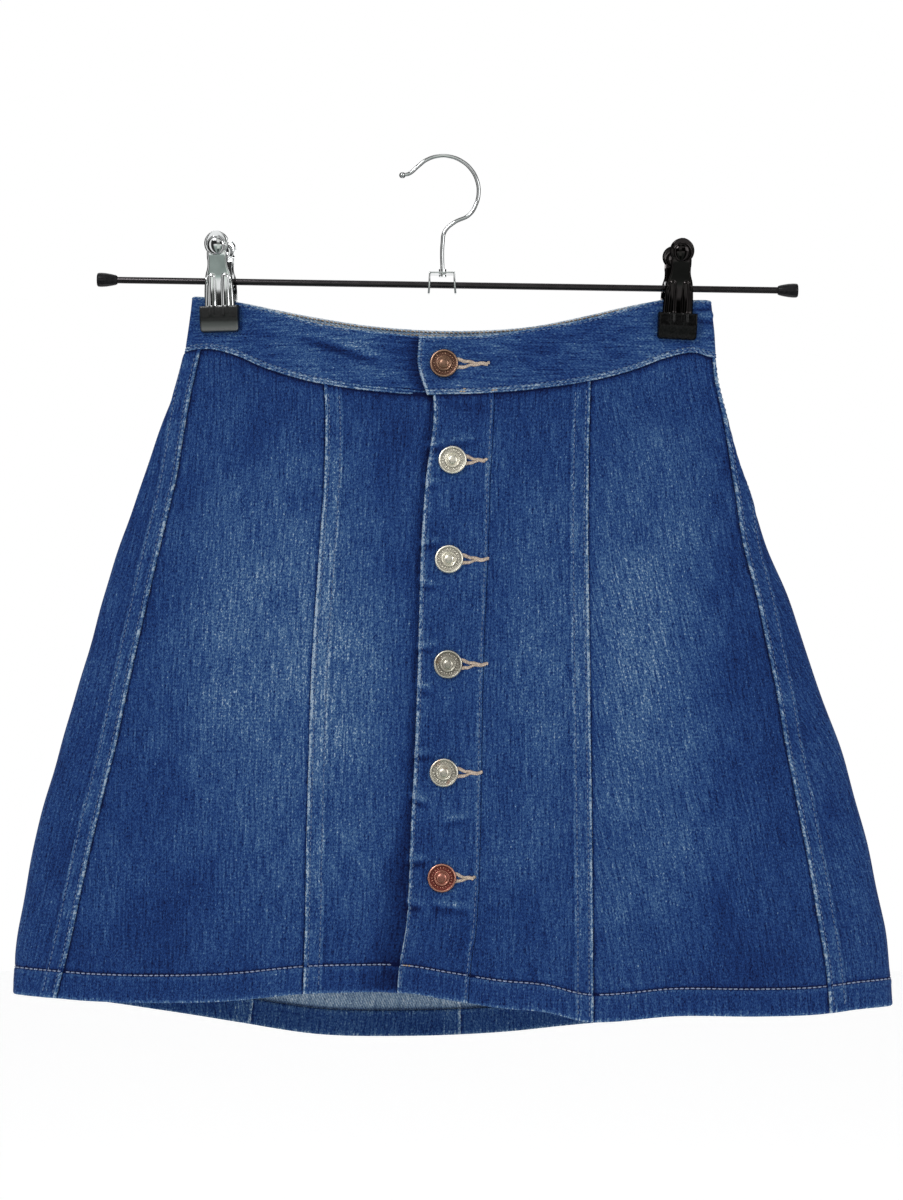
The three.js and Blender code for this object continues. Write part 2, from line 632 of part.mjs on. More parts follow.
// The hook: a wire bent in a round, open towards the left, with a small ball on its end. It comes down into
// the bracket and is riveted under its plate.
const WIRE_RADIUS = 1.25;
const HOOK_RADIUS = 21.5;
const BALL_RADIUS = 2;
const PLATE_TOP = -70;
const PLATE = 1.2;
const BRACKET = { left: -8.6, right: 7.4, bottom: -83, depth: 11 };
function buildHook() {
  const centre = -(HOOK_RADIUS - WIRE_RADIUS);
  const onRound = (degrees) => {
    const angle = radians(degrees);
    return new THREE.Vector3(HOOK_RADIUS * Math.cos(angle), 0, centre + HOOK_RADIUS * Math.sin(angle));
  };
  const arc = [118, 98, 78, 58, 38, 18, -2, -22, -42].map(onRound);
  const flat = (x, z) => new THREE.Vector3(x, 0, z);
  const tip = [flat(-24.6, -10.6), flat(-20.5, -9.6), flat(-15, -5)];
  const stem = [flat(6.5, -39.6), flat(1, -45), flat(-0.3, -52)];
  const end = flat(-0.3, PLATE_TOP - PLATE - 1);
  const path = new THREE.CatmullRomCurve3([...tip, ...arc, ...stem, end]);
  const section = new THREE.Shape().absarc(0, 0, WIRE_RADIUS, 0, 2 * Math.PI);
  const wire = new THREE.ExtrudeGeometry(section, { steps: 40, curveSegments: 5, extrudePath: path });
  const ball = new THREE.SphereGeometry(BALL_RADIUS, 12, 8).translate(tip[0].x, 0, tip[0].z);
  const rivet = disc(2.3, PLATE_TOP - PLATE - FIT - 1.2, PLATE_TOP - PLATE - FIT).translate(end.x, 0, 0);
  const collar = disc(2.1, PLATE_TOP + FIT, PLATE_TOP + FIT + 1.4).translate(end.x, 0, 0);
  add(hanger, "hook", joined(wire, ball, rivet, collar), chrome);

  // The bracket is a strip bent down at both ends, and the rod goes through its two legs.
  const { left, right, bottom, depth } = BRACKET;
  const outline = new THREE.Shape([
    new THREE.Vector2(left - 0.5, bottom),
    new THREE.Vector2(left, PLATE_TOP - 1),
    new THREE.Vector2(left + 1, PLATE_TOP),
    new THREE.Vector2(right - 1, PLATE_TOP),
    new THREE.Vector2(right, PLATE_TOP - 1),
    new THREE.Vector2(right + 0.5, bottom),
    new THREE.Vector2(right + 0.5 - PLATE, bottom),
    new THREE.Vector2(right - PLATE, PLATE_TOP - PLATE),
    new THREE.Vector2(left + PLATE, PLATE_TOP - PLATE),
    new THREE.Vector2(left - 0.5 + PLATE, bottom),
  ]);
  const bent = new THREE.ExtrudeGeometry(outline, { depth, bevelEnabled: false });
  bent.rotateX(Math.PI / 2).translate(0, depth / 2, 0);
  const stemHole = disc(WIRE_RADIUS + FIT, PLATE_TOP - 2 * PLATE, PLATE_TOP + PLATE).translate(end.x, 0, 0);
  const rodHole = alongX(ROD_RADIUS + FIT, 40).rotateY(ROD_TILT).translate(0, 0, ROD_HEIGHT);
  add(hanger, "hook_bracket", cut(bent, stemHole, rodHole), chrome);
}

const rod = new THREE.Group();
rod.position.z = ROD_HEIGHT;
rod.rotation.y = ROD_TILT;
hanger.add(rod);

// The rod, with a rubber cap pushed over each end, and the spring of each clip wound round it.
const CAP = { length: 13, wide: 4.35, narrow: 3, depth: 9.5 };
const COIL = { radius: 3.5, hollow: ROD_RADIUS + FIT, turns: 5, pitch: 1.8 };
function buildRod() {
  const bar = alongX(ROD_RADIUS, ROD_RIGHT - ROD_LEFT);
  add(rod, "rod", bar.translate((ROD_LEFT + ROD_RIGHT) / 2, 0, 0), darkChrome);
  const cap = new THREE.LatheGeometry(
    [
      [0, 0],
      [CAP.wide - 0.9, 0],
      [CAP.wide, 0.9],
      [CAP.wide, 5],
      [CAP.narrow, CAP.length],
      [ROD_RADIUS + FIT, CAP.length],
      [ROD_RADIUS + FIT, CAP.length - CAP.depth],
      [0, CAP.length - CAP.depth],
    ].map(([radius, height]) => new THREE.Vector2(radius, height)),
    ROUND,
  );
  const capInside = CAP.length - CAP.depth + FIT;
  add(rod, "rod_cap_left", cap.clone().rotateZ(-Math.PI / 2).translate(ROD_LEFT - capInside, 0, 0), rubber);
  add(rod, "rod_cap_right", cap.clone().rotateZ(Math.PI / 2).translate(ROD_RIGHT + capInside, 0, 0), rubber);
  const coilProfile = [];
  const valley = COIL.radius - 0.6;
  for (let i = 0; i < COIL.turns; i += 1) {
    const start = (i - COIL.turns / 2) * COIL.pitch;
    coilProfile.push([valley, start], [COIL.radius, start + COIL.pitch / 2]);
  }
  const end = (COIL.turns / 2) * COIL.pitch;
  coilProfile.push([valley, end], [COIL.hollow, end], [COIL.hollow, -end], [valley, -end]);
  const coil = new THREE.LatheGeometry(
    coilProfile.map(([radius, height]) => new THREE.Vector2(radius, height)),
    ROUND,
  );
  for (const [side, clip] of [["left", LEFT_CLIP], ["right", RIGHT_CLIP]]) {
    add(rod, `${side}_spring`, coil.clone().rotateZ(-Math.PI / 2).translate(clip.x, 0, 0), darkChrome);
  }
}

// A jaw of a clip, from its round thumb plate down to the tongue that holds the pad. half is its half width
// and out its outer face's distance from the middle of the clip; heights are from the rod.
const JAW = [
  { z: 28.6, half: 2.4, out: 15.6 },
  { z: 27.4, half: 4.8, out: 15.6 },
  { z: 24.6, half: 6.8, out: 15.4 },
  { z: 21, half: 7.4, out: 15 },
  { z: 17.4, half: 6.9, out: 14.4 },
  { z: 14, half: 6.3, out: 13.4 },
  { z: 8, half: 6.5, out: 11.2 },
  { z: 3.4, half: 7.9, out: 9.6 },
  { z: 0.5, half: 8.4, out: 8.9 },
  { z: -5, half: 8.9, out: 8 },
  { z: -10, half: 9.1, out: 7.4 },
  { z: -15.4, half: 9.3, out: 6.9 },
  { z: -15.5, half: 7.5, out: 6.9 },
  { z: -23.4, half: 7.5, out: 6.7 },
];
const JAW_WALL = 1;
const JAW_COLUMNS = [-1, -0.68, -0.27, 0.27, 0.68, 1];
const THUMB = { z: 21, radius: 5.6, rise: 1.3 };
const FLUTE = { x: 4.1, width: 2, top: 3, bottom: -15, rise: 0.7 };
const EAR = { wall: 1.1, front: 6.6, back: 5.2, radius: 4 };
const PAD = { half: 11.8, top: -15.7, bottom: -31.4, inner: 3.15, outer: 8.7, round: 2 };

function jawRelief(x, z) {
  const fromThumb = Math.hypot(x, z - THUMB.z) / THUMB.radius;
  const dome = fromThumb < 1 ? THUMB.rise * Math.sqrt(1 - fromThumb ** 2) : 0;
  const onFlute = Math.abs(Math.abs(x) - FLUTE.x) < FLUTE.width && z < FLUTE.top && z > FLUTE.bottom;
  return dome + (onFlute ? FLUTE.rise : 0);
}

// Built for the front, towards -Y; ear is how far its ears stand from the middle of the clip.
function jaw(ear) {
  const layer = (inset, relief) =>
    JAW.map(({ z, half, out }) =>
      JAW_COLUMNS.map((share) => {
        const x = -share * half;
        return new THREE.Vector3(x, -(out - inset + relief * jawRelief(x, z)), z);
      }),
    );
  const plate = wall(layer(0, 1), layer(JAW_WALL, 1));
  const side = new THREE.Shape();
  side.moveTo(-9, 3);
  side.lineTo(0, EAR.radius);
  side.absarc(0, 0, EAR.radius, Math.PI / 2, -Math.PI / 2, true);
  side.lineTo(-6.9, -8.5);
  const ears = [-1, 1].map((hand) => {
    const flat = new THREE.ExtrudeGeometry(side, { depth: EAR.wall, bevelEnabled: false, curveSegments: 6 });
    // The shape's own x and y become Y and Z, and its depth runs along X.
    flat.applyMatrix4(new THREE.Matrix4().set(0, 0, 1, 0, 1, 0, 0, 0, 0, 1, 0, 0, 0, 0, 0, 1));
    return flat.translate(hand > 0 ? ear : -ear - EAR.wall, 0, 0);
  });
  return joined(plate, ...ears);
}

function pad() {
  const { half, top, bottom, inner, outer, round } = PAD;
  const outline = new THREE.Shape();
  outline.moveTo(-half, top);
  outline.lineTo(-half, bottom + round);
  outline.quadraticCurveTo(-half, bottom, -half + round, bottom);
  outline.lineTo(half - round, bottom);
  outline.quadraticCurveTo(half, bottom, half, bottom + round);
  outline.lineTo(half, top);
  const thick = { depth: outer - inner, bevelEnabled: false, curveSegments: 3 };
  const block = new THREE.ExtrudeGeometry(outline, thick).rotateX(Math.PI / 2).translate(0, -inner, 0);
  const tongue = JAW[JAW.length - 1];
  const slotWide = 2 * (tongue.half + FIT);
  const slotDeep = JAW_WALL + 2 * FIT + 0.2;
  const slot = new THREE.BoxGeometry(slotWide, slotDeep, 2 * (top - tongue.z + FIT));
  slot.translate(0, -(tongue.out + 0.1 - JAW_WALL / 2), top);
  return cut(block, slot);
}

function buildClip(side, { x, yaw, lean }) {
  const clip = new THREE.Group();
  clip.position.set(x * Math.cos(ROD_TILT), 0, ROD_HEIGHT - x * Math.sin(ROD_TILT));
  clip.rotation.order = "YXZ";
  clip.rotation.set(0, lean, yaw);
  hanger.add(clip);
  const through = alongX(ROD_RADIUS + FIT, 60).rotateY(ROD_TILT - lean).rotateZ(-yaw);
  const turnBack = new THREE.Matrix4().makeRotationZ(Math.PI);
  const metal = side === "left" ? chrome : darkChrome;
  add(clip, `${side}_jaw_front`, cut(jaw(EAR.front), through), metal);
  add(clip, `${side}_jaw_back`, cut(jaw(EAR.back).applyMatrix4(turnBack), through), metal);
  add(clip, `${side}_pad_front`, pad(), rubber);
  add(clip, `${side}_pad_back`, pad().applyMatrix4(turnBack), rubber);
}

buildFront();
buildBack();
buildWaistband();
buildButtons();
buildHook();
buildRod();
buildClip("left", LEFT_CLIP);
buildClip("right", RIGHT_CLIP);

export default part;
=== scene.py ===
import bmesh
import bpy
import numpy as np
from mathutils import Matrix, Vector


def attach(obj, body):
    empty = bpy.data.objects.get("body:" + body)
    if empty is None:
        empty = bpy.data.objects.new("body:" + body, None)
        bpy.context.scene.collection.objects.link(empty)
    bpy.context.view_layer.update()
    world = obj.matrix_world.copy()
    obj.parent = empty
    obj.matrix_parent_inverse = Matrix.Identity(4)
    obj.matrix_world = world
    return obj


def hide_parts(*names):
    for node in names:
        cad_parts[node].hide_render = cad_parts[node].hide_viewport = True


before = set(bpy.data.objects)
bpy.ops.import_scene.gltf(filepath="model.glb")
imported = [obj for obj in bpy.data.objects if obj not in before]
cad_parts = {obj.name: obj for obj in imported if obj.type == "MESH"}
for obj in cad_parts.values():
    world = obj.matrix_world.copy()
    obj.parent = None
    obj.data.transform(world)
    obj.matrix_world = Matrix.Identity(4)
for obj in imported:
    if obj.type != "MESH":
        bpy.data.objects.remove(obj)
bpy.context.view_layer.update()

# The view. It stands two metres in front of the hanging skirt, a little below its middle, and looks slightly
# up, so that the back of the hem shows under the front.
VIEW_DISTANCE = 1.95
VIEW_X = 0.0051
EYE_HEIGHT = -0.388
AIM_HEIGHT = -0.268
FRAME_HEIGHT = 0.72
bpy.ops.object.camera_add(location=(VIEW_X, -VIEW_DISTANCE, EYE_HEIGHT))
camera = bpy.context.object
camera.name = "view"
aim = Vector((VIEW_X, 0, AIM_HEIGHT)) - camera.location
camera.rotation_euler = aim.to_track_quat("-Z", "Y").to_euler()
camera.data.sensor_fit = "VERTICAL"
camera.data.angle = 2 * np.arctan(FRAME_HEIGHT / 2 / aim.length)
bpy.context.scene.camera = camera
bpy.context.scene.view_settings.view_transform = "Standard"


# The skirt's form, which every sewn piece follows: level sections round two flattened halves that the clips
# hold together at the sides of the waist, and the largest folds. The pieces are cut from it along the seams.
def table(columns, *rows, plain=""):
    """Rows with named columns. Lengths are in millimetres here and read in metres, but for plain columns."""
    values = np.array(rows, float).T
    for number, column in enumerate(columns.split()):
        if column not in plain.split():
            values[number] = np.round(values[number] / 1000, 7)
    return np.rec.fromarrays(list(values), names=columns.split())


LEVELS = table(
    "z left right front back bow held fold full",
    (-80, -150.3, 160.2, 5, 6, 7, 0.62, 2.05, 1.6),
    (-104, -153, 163.2, 5, 6, 7, 0.62, 2.05, 1.6),
    (-119, -155.7, 163.8, 5.5, 6.5, 7, 0.62, 2.05, 1.6),
    (-136, -160.2, 165.6, 6.5, 8, 7, 0.55, 2.1, 1.5),
    (-160, -168.6, 171, 9, 10.5, 6, 0.4, 2.3, 1.4),
    (-196, -180.6, 181.8, 13, 14, 4.5, 0.2, 2.6, 1.25),
    (-232, -193.2, 193.2, 17, 17, 3, 0.08, 2.9, 1.15),
    (-268, -204, 207.6, 20, 20, 2, 0, 3, 1.1),
    (-316, -217.2, 223.2, 23.5, 23, 1, 0, 3, 1.05),
    (-364, -231, 240, 27, 25.5, 0, 0, 3, 1),
    (-412, -243.6, 252.6, 30, 28, 0, 0, 3, 1),
    (-460, -252, 262.8, 33, 30, 0, 0, 3, 1),
    (-484, -255, 265.8, 34.5, 31, 0, 0, 3, 1),
    (-508, -256.2, 267.6, 36, 32, 0, 0, 3, 1),
    (-540, -257, 268.4, 37, 33, 0, 0, 3, 1),
    plain="held full",
)
GRIP_LEFT, GRIP_RIGHT = 0.894, 0.866
FOLD_COLUMNS = "top_x top_z end_x end_z width depth"
FRONT_FOLDS = table(
    FOLD_COLUMNS,
    (-18, -392, -36, -540, 8, 5), (-4, -440, -8, -580, 13, -3),
    (-118, -330, -150, -580, 26, -3.5), (-52, -350, -62, -580, 18, -2.5),
    (62, -330, 70, -580, 22, -4), (122, -320, 138, -580, 22, 3),
    (165, -330, 192, -580, 22, -3),
)
BACK_FOLDS = table(
    FOLD_COLUMNS,
    (-120, -300, -150, -580, 26, -4), (-58, -330, -68, -580, 22, 3.5),
    (60, -320, 72, -580, 24, -4), (120, -300, 146, -580, 24, 3.5),
)
TURN_STEP, Z_STEP = 0.4, 0.0005


def along(table, key, columns, place):
    """Columns of a table at some places between its rows, each on a smooth curve through them."""
    order = slice(None, None, 1 if table[key][0] < table[key][-1] else -1)
    keys = table[key][order]
    last = len(keys) - 1
    after, before = np.r_[1:len(keys), last], np.r_[0, 0:last]
    row = np.clip(np.searchsorted(keys, place) - 1, 0, last - 1)
    span = keys[row + 1] - keys[row]
    t = np.clip((place - keys[row]) / span, 0, 1)
    towards = t * t * (3 - 2 * t)
    leaving, arriving = (t**3 - 2 * t**2 + t) * span, (t**3 - t**2) * span
    read = []
    for column in columns.split():
        values = table[column][order]
        slopes = (values[after] - values[before]) / (keys[after] - keys[before])
        level = values[row] + (values[row + 1] - values[row]) * towards
        read.append(level + slopes[row] * leaving + slopes[row + 1] * arriving)
    return read if len(read) > 1 else read[0]


def smooth(value):
    value = np.clip(value, 0, 1)
    return value**2 * (3 - 2 * value)


def fold_depth(folds, x, z):
    depth = 0
    for fold in folds:
        down = np.clip((fold.top_z - z) / (fold.top_z - fold.end_z), 0, 1)
        off = (x - fold.top_x - (fold.end_x - fold.top_x) * down) / fold.width
        depth = depth + fold.depth * np.exp(-off**2) * np.sin(np.pi * down) ** 0.8
    return depth


def face(turn, z):
    """Points of the outer face, by the turn round the skirt in degrees and the height."""
    left, right, front, back = along(LEVELS, "z", "left right front back", z)
    bow, held, fold, full = along(LEVELS, "z", "bow held fold full", z)
    across, side = np.cos(np.radians(turn)), np.sin(np.radians(turn))
    rise = np.abs(side)
    half = (right - left) / 2
    x = (left + right) / 2 + half * across
    from_end = np.minimum(half * (1 - np.abs(across)) / fold, 1)
    rounded = np.sqrt(1 - (1 - from_end) ** 2)
    held = np.maximum(held, 0)
    spread = np.clip((rise - held) / (1 - held), 0, 1) ** full
    folds = np.where(side > 0, fold_depth(FRONT_FOLDS, x, z), fold_depth(BACK_FOLDS, x, z))
    depth = fold * rounded + np.where(side > 0, front, back) * spread - rise * folds
    middle = -bow * (1 - (across / np.where(across < 0, GRIP_LEFT, GRIP_RIGHT)) ** 2)
    return np.stack([x, middle + np.where(side > 0, -depth, depth), z + 0 * x], axis=-1)


def unit(vectors):
    return vectors / np.linalg.norm(vectors, axis=-1, keepdims=True)


def face_ways(turn, z):
    """At points of the face: the way round for one degree, the way up, and straight out of the cloth."""
    around = (face(turn + TURN_STEP, z) - face(turn - TURN_STEP, z)) / (2 * TURN_STEP)
    up = unit(face(turn, z + Z_STEP) - face(turn, z - Z_STEP))
    return around, up, unit(np.cross(up, around))


def degree(turn, z):
    """How far round the cloth one degree goes, in metres."""
    return np.linalg.norm(face_ways(turn, z)[0], axis=-1)


# The seams and edges, as they were cut. Side seams lie in from the outline on the front, the others go by x.
# Top, seam and hem are the waistband's upper edge, the seam under it and the skirt's lower edge.
SEAMS = table(
    "z right_side right_front stand placket left_front left_side",
    (-87, 1.5, 88.8, 30.6, -14.5, -71.5, 8.5), (-136, 1.5, 88.5, 30.6, -7, -71.3, 10),
    (-160, 2.2, 87.8, 30.3, -5.6, -70.3, 14), (-196, 7.3, 86.9, 28.2, -10, -70.8, 20.4),
    (-232, 14, 86.5, 27.2, -12.6, -73, 25.2), (-268, 20, 86.7, 25.6, -13.8, -75.4, 28),
    (-316, 26.2, 87.2, 23.8, -15, -78, 31), (-364, 35, 87.5, 22.8, -16.8, -79.2, 35),
    (-412, 38.8, 87.8, 22, -19.2, -80.2, 36), (-460, 41, 88, 19.8, -21.4, -80.7, 34.5),
    (-484, 40.4, 88, 16.4, -25.6, -81.3, 32), (-508, 40, 88, 14.8, -27.3, -81.9, 27.6),
    (-540, 39.5, 88, 14, -28, -82.5, 26),
)
BACK_SEAMS = {"back_left": (-0.066, -0.116), "back_middle": (0.006, 0.0108), "back_right": (0.078, 0.128)}
BACK_TOP, BACK_HEM = -0.14, -0.52
EDGES = table(
    "turn top seam hem",
    (0, -87, -122, -509.4), (12, -86.6, -121.3, -510), (24, -86.8, -118.8, -511.2),
    (36, -87, -122.5, -514), (48, -92.6, -131, -514.5), (60, -100, -138, -514.2),
    (72, -105.5, -142.7, -517.3), (78, -108.2, -144.4, -511.5), (84, -110.2, -145.6, -509),
    (90, -110.6, -146, -504.6), (96, -110.4, -146, -500.4), (108, -107, -143, -500.6),
    (120, -102.4, -137.6, -505.2), (132, -94.5, -129.6, -506.6), (144, -89, -120.6, -506),
    (156, -85.6, -116.8, -504.2), (180, -84.6, -118.8, -502.8), (204, -86.6, -118, -506.4),
    (216, -88.4, -120.6, -508.6), (228, -93, -128, -514.2), (240, -98, -134.5, -521.5),
    (252, -102.5, -139.5, -528.8), (264, -105, -142.4, -530.2), (276, -105.2, -142.6, -528),
    (288, -102.8, -140, -522.8), (300, -97, -135, -517.5), (312, -91, -129, -514),
    (324, -87.2, -122.5, -512), (348, -86.8, -121.3, -509.8), (360, -87, -122, -509.4),
    plain="turn",
)


def edge_height(name, turn):
    return along(EDGES, "turn", name, np.mod(turn, 360))


def front_turn(x, z):
    left, right = along(LEVELS, "z", "left right", z)
    return np.degrees(np.arccos(np.clip((2 * x - left - right) / (right - left), -1, 1)))


def seam_turn(name, z):
    """How far round a seam lies at some heights. The right side seam is also met from the back, past 360."""
    if name in BACK_SEAMS:
        waist, hem = BACK_SEAMS[name]
        return 360 - front_turn(waist + (hem - waist) * (z - BACK_TOP) / (BACK_HEM - BACK_TOP), z)
    if name == "right_side_round":
        return 360 + seam_turn("right_side", z)
    place = along(SEAMS, "z", name, z)
    if name == "right_side":
        place = along(LEVELS, "z", "right", z) - np.maximum(place, 0)
    if name == "left_side":
        place = along(LEVELS, "z", "left", z) + place
    return front_turn(place, z)


# Denim: washed indigo twill, mid blue with pale thighs, worn almost white along the seams' ridges, with
# slubby threads down the cloth and a pale reverse. The fade attribute says how far a spot is washed out, from
# 0 to 1, and also carries painted light and shade, marked where each is made.
def srgb(red, green, blue):
    """A colour as it looks on a screen, from 0 to 255, as Blender's own linear values."""
    channels = [c / 255 for c in (red, green, blue)]
    return [c / 12.92 if c < 0.04045 else ((c + 0.055) / 1.055) ** 2.4 for c in channels] + [1]


def fill(node, **settings):
    """Sets a node's settings, and its inputs by name or by number, as i0. Another node's output is linked."""
    for name, value in settings.items():
        if hasattr(node, name):
            setattr(node, name, value)
            continue
        socket = node.inputs[int(name[1:])] if name[1:].isdigit() else node.inputs[name.replace("_", " ")]
        if isinstance(value, bpy.types.NodeSocket):
            node.id_data.links.new(value, socket)
        else:
            socket.default_value = value
    return node


def put(nodes, kind, **settings):
    return fill(nodes.new(kind), **settings)


def new_material(name):
    material = bpy.data.materials.new(name)
    material.use_nodes = True
    nodes = material.node_tree.nodes
    return material, nodes, nodes["Principled BSDF"]


def object_place(nodes):
    return put(nodes, "ShaderNodeTexCoord").outputs["Object"]


def calc(operation, *values):
    """A sum of numbers and nodes' outputs, as a new node beside theirs."""
    nodes = next(value for value in values if isinstance(value, bpy.types.NodeSocket)).id_data.nodes
    inputs = {f"i{number}": value for number, value in enumerate(values)}
    return put(nodes, "ShaderNodeMath", operation=operation, **inputs).outputs[0]


def ramp(factor, stops):
    """A colour ramp. A stop is its place and a colour, or its place and a grey."""
    node = put(factor.id_data.nodes, "ShaderNodeValToRGB", i0=factor)
    while len(node.color_ramp.elements) < len(stops):
        node.color_ramp.elements.new(1)
    for element, (place, color) in zip(node.color_ramp.elements, stops):
        element.position = place
        element.color = (*np.resize(color, 3), 1)
    return node.outputs["Color"]


def noise(place, scale, detail=2.0, roughness=0.5):
    nodes = place.id_data.nodes
    scaled = put(nodes, "ShaderNodeVectorMath", operation="MULTIPLY", i0=place, i1=scale).outputs[0]
    texture = put(nodes, "ShaderNodeTexNoise", i0=scaled, Scale=1.0, Detail=detail, Roughness=roughness)
    return texture.outputs["Fac"]


def denim(name, stops, twill_pitch, twill_strength, twill_shade):
    material, nodes, shader = new_material(name)
    cloth = put(nodes, "ShaderNodeUVMap", uv_map="cloth").outputs["UV"]
    fade_and_painted_light = put(nodes, "ShaderNodeAttribute", attribute_name="fade_and_painted_light").outputs["Fac"]
    blotches = calc("SUBTRACT", noise(object_place(nodes), (42, 42, 11), 3.0), 0.5)
    tone = calc("MULTIPLY_ADD", blotches, 0.26, fade_and_painted_light)
    streaks = calc("SUBTRACT", noise(cloth, (760, 50, 1), 2.0, 0.65), 0.5)
    yarns = noise(cloth, (1150, 280, 1), 2.0, 0.7)
    specks = calc("SUBTRACT", noise(cloth, (930, 820, 1), 1.0), 0.5)
    grain = calc("MULTIPLY_ADD", calc("SUBTRACT", yarns, 0.5), 1.3, calc("MULTIPLY", specks, 1.6))
    grain = calc("MULTIPLY_ADD", streaks, 1.5, grain)
    slope = 2 * np.pi / twill_pitch
    across_ribs = (0.84 * slope, 0.54 * slope, 0)
    diagonal = put(nodes, "ShaderNodeVectorMath", operation="DOT_PRODUCT", i0=cloth, i1=across_ribs)
    ribs = calc("SINE", diagonal.outputs["Value"])
    grain = calc("MULTIPLY_ADD", ribs, twill_shade, grain)
    tone = calc("MULTIPLY_ADD", grain, calc("MULTIPLY_ADD", tone, 0.9, 0.22), tone)
    knots = calc("MAXIMUM", calc("SUBTRACT", noise(cloth, (1050, 640, 1), 1.0), 0.6), 0)
    tone = calc("MULTIPLY_ADD", calc("MULTIPLY", knots, 2.3), calc("ADD", tone, 0.25), tone)
    relief = calc("MULTIPLY_ADD", yarns, 1.6, calc("MULTIPLY", ribs, twill_strength))
    bump = put(nodes, "ShaderNodeBump", Height=relief, Distance=0.00025, Strength=0.6).outputs[0]
    fill(shader, Base_Color=ramp(tone, stops), Normal=bump, Roughness=0.88, Specular_IOR_Level=0.1)
    fill(shader, Sheen_Weight=0.04, Sheen_Roughness=0.4)
    return material


FACE_STOPS = [
    (0.0, srgb(7, 17, 57)),
    (0.3, srgb(24, 53, 107)),
    (0.55, srgb(50, 82, 127)),
    (0.8, srgb(88, 118, 150)),
    (1.0, srgb(150, 168, 186)),
]
REVERSE_STOPS = [(0.0, srgb(72, 94, 128)), (0.4, srgb(126, 150, 174)), (1.0, srgb(215, 224, 232))]
denim_face = denim("denim_face", FACE_STOPS, 0.0011, 0.35, 0.06)
denim_reverse = denim("denim_reverse", REVERSE_STOPS, 0.0013, 1.0, 0.22)


# The cut panels: five across the front and four across the back, each a layer of denim, thicker at its felled
# seams and turned up at the hem. Each is laid on the skirt's form as a thin shell, with creases and puckers.
DENIM = 0.0012
HEM_DEPTH, HEM_TURN = 0.016, 0.0013
ROW_STEP, ROWED_HEIGHT = 0.002, 0.372
STAND_UNDER = 0.002


def edge_rows(*rows):
    """How a layer runs along an edge: distance in from it, heights there, in millimetres, and wear, which
    under the waist seam and at the hem's stitching also holds painted shade.
    """
    return np.round(np.array(rows) / ([1000] * (len(rows[0]) - 1) + [1]), 7)


# Distance in, height of the outer and of the inner face, and wear, at a felled, a tucked and a free edge.
FELLED = edge_rows(
    (0, -0.2, -1.2, 0.3), (0.2, 0.6, -1.2, 0.4), (0.7, 1.1, -1.2, 0.42),
    (1.4, 1.1, -1.2, 0.38), (2, 0.8, -1.2, 0.1), (2.6, 0.5, -1.2, -0.12),
    (3.2, 0.7, -1.2, 0.08), (4.2, 0.7, -1.2, 0.06), (5.3, 0.7, -1.2, 0.05),
    (6.4, 0.7, -1.2, 0.07), (7.6, 0.75, -1.2, 0.1), (8.6, 0.8, -1.2, 0.12),
    (9.3, 0.5, -1.2, -0.1), (9.9, 0.8, -1.2, 0.2), (10.7, 0.7, -1.2, 0.15),
    (11.4, 0.2, -1.2, -0.05), (12.2, 0, -1.2, -0.05), (13.6, 0, -1.2, 0),
)
TUCKED = edge_rows(
    (-1.3, -0.7, -1.1, -0.3), (-0.2, -0.6, -1.2, -0.35), (0.5, -0.25, -1.2, -0.25),
    (1.4, -0.05, -1.2, -0.08), (2.6, 0, -1.2, 0),
)
FREE = edge_rows(
    (0, -0.6, -0.8, 0.4), (0.2, 0.1, -1.4, 0.48), (0.7, 0.8, -1.6, 0.5),
    (1.4, 0.9, -1.6, 0.42), (2.2, 0.4, -1.6, -0.08), (2.9, 0.7, -1.6, 0.1),
    (4.4, 0.6, -1.6, 0),
)
# Height above the hem, how far the outer face is rounded in there, and its wear: worn pale along the
# folded edge, with painted shade along the groove of the hem's stitching.
HEM_ROWS = edge_rows(
    (0, 0.8, 0.3), (0.3, 0.3, 0.32), (0.9, 0, 0.2), (2, -0.1, 0.05),
    (4, 0, 0), (6, 0, 0), (8, 0, 0), (10, 0, 0),
    (12, 0, 0), (13.8, -0.2, 0.08), (15, -0.2, 0.1), (15.5, 0.2, -0.2),
    (16, 0.5, -0.38), (16.6, 0.3, -0.34), (17.5, 0, -0.08),
)
# Depth below the waist seam, how far the face is sunk there, and its wear, which is painted shade: the cloth
# is darker just under the waistband.
TOP_ROWS = edge_rows(
    (-1.2, 0.7, -0.3), (0, 0.6, -0.35), (0.6, 0.3, -0.3), (1.6, 0.1, -0.15),
    (3, 0, -0.08),
)
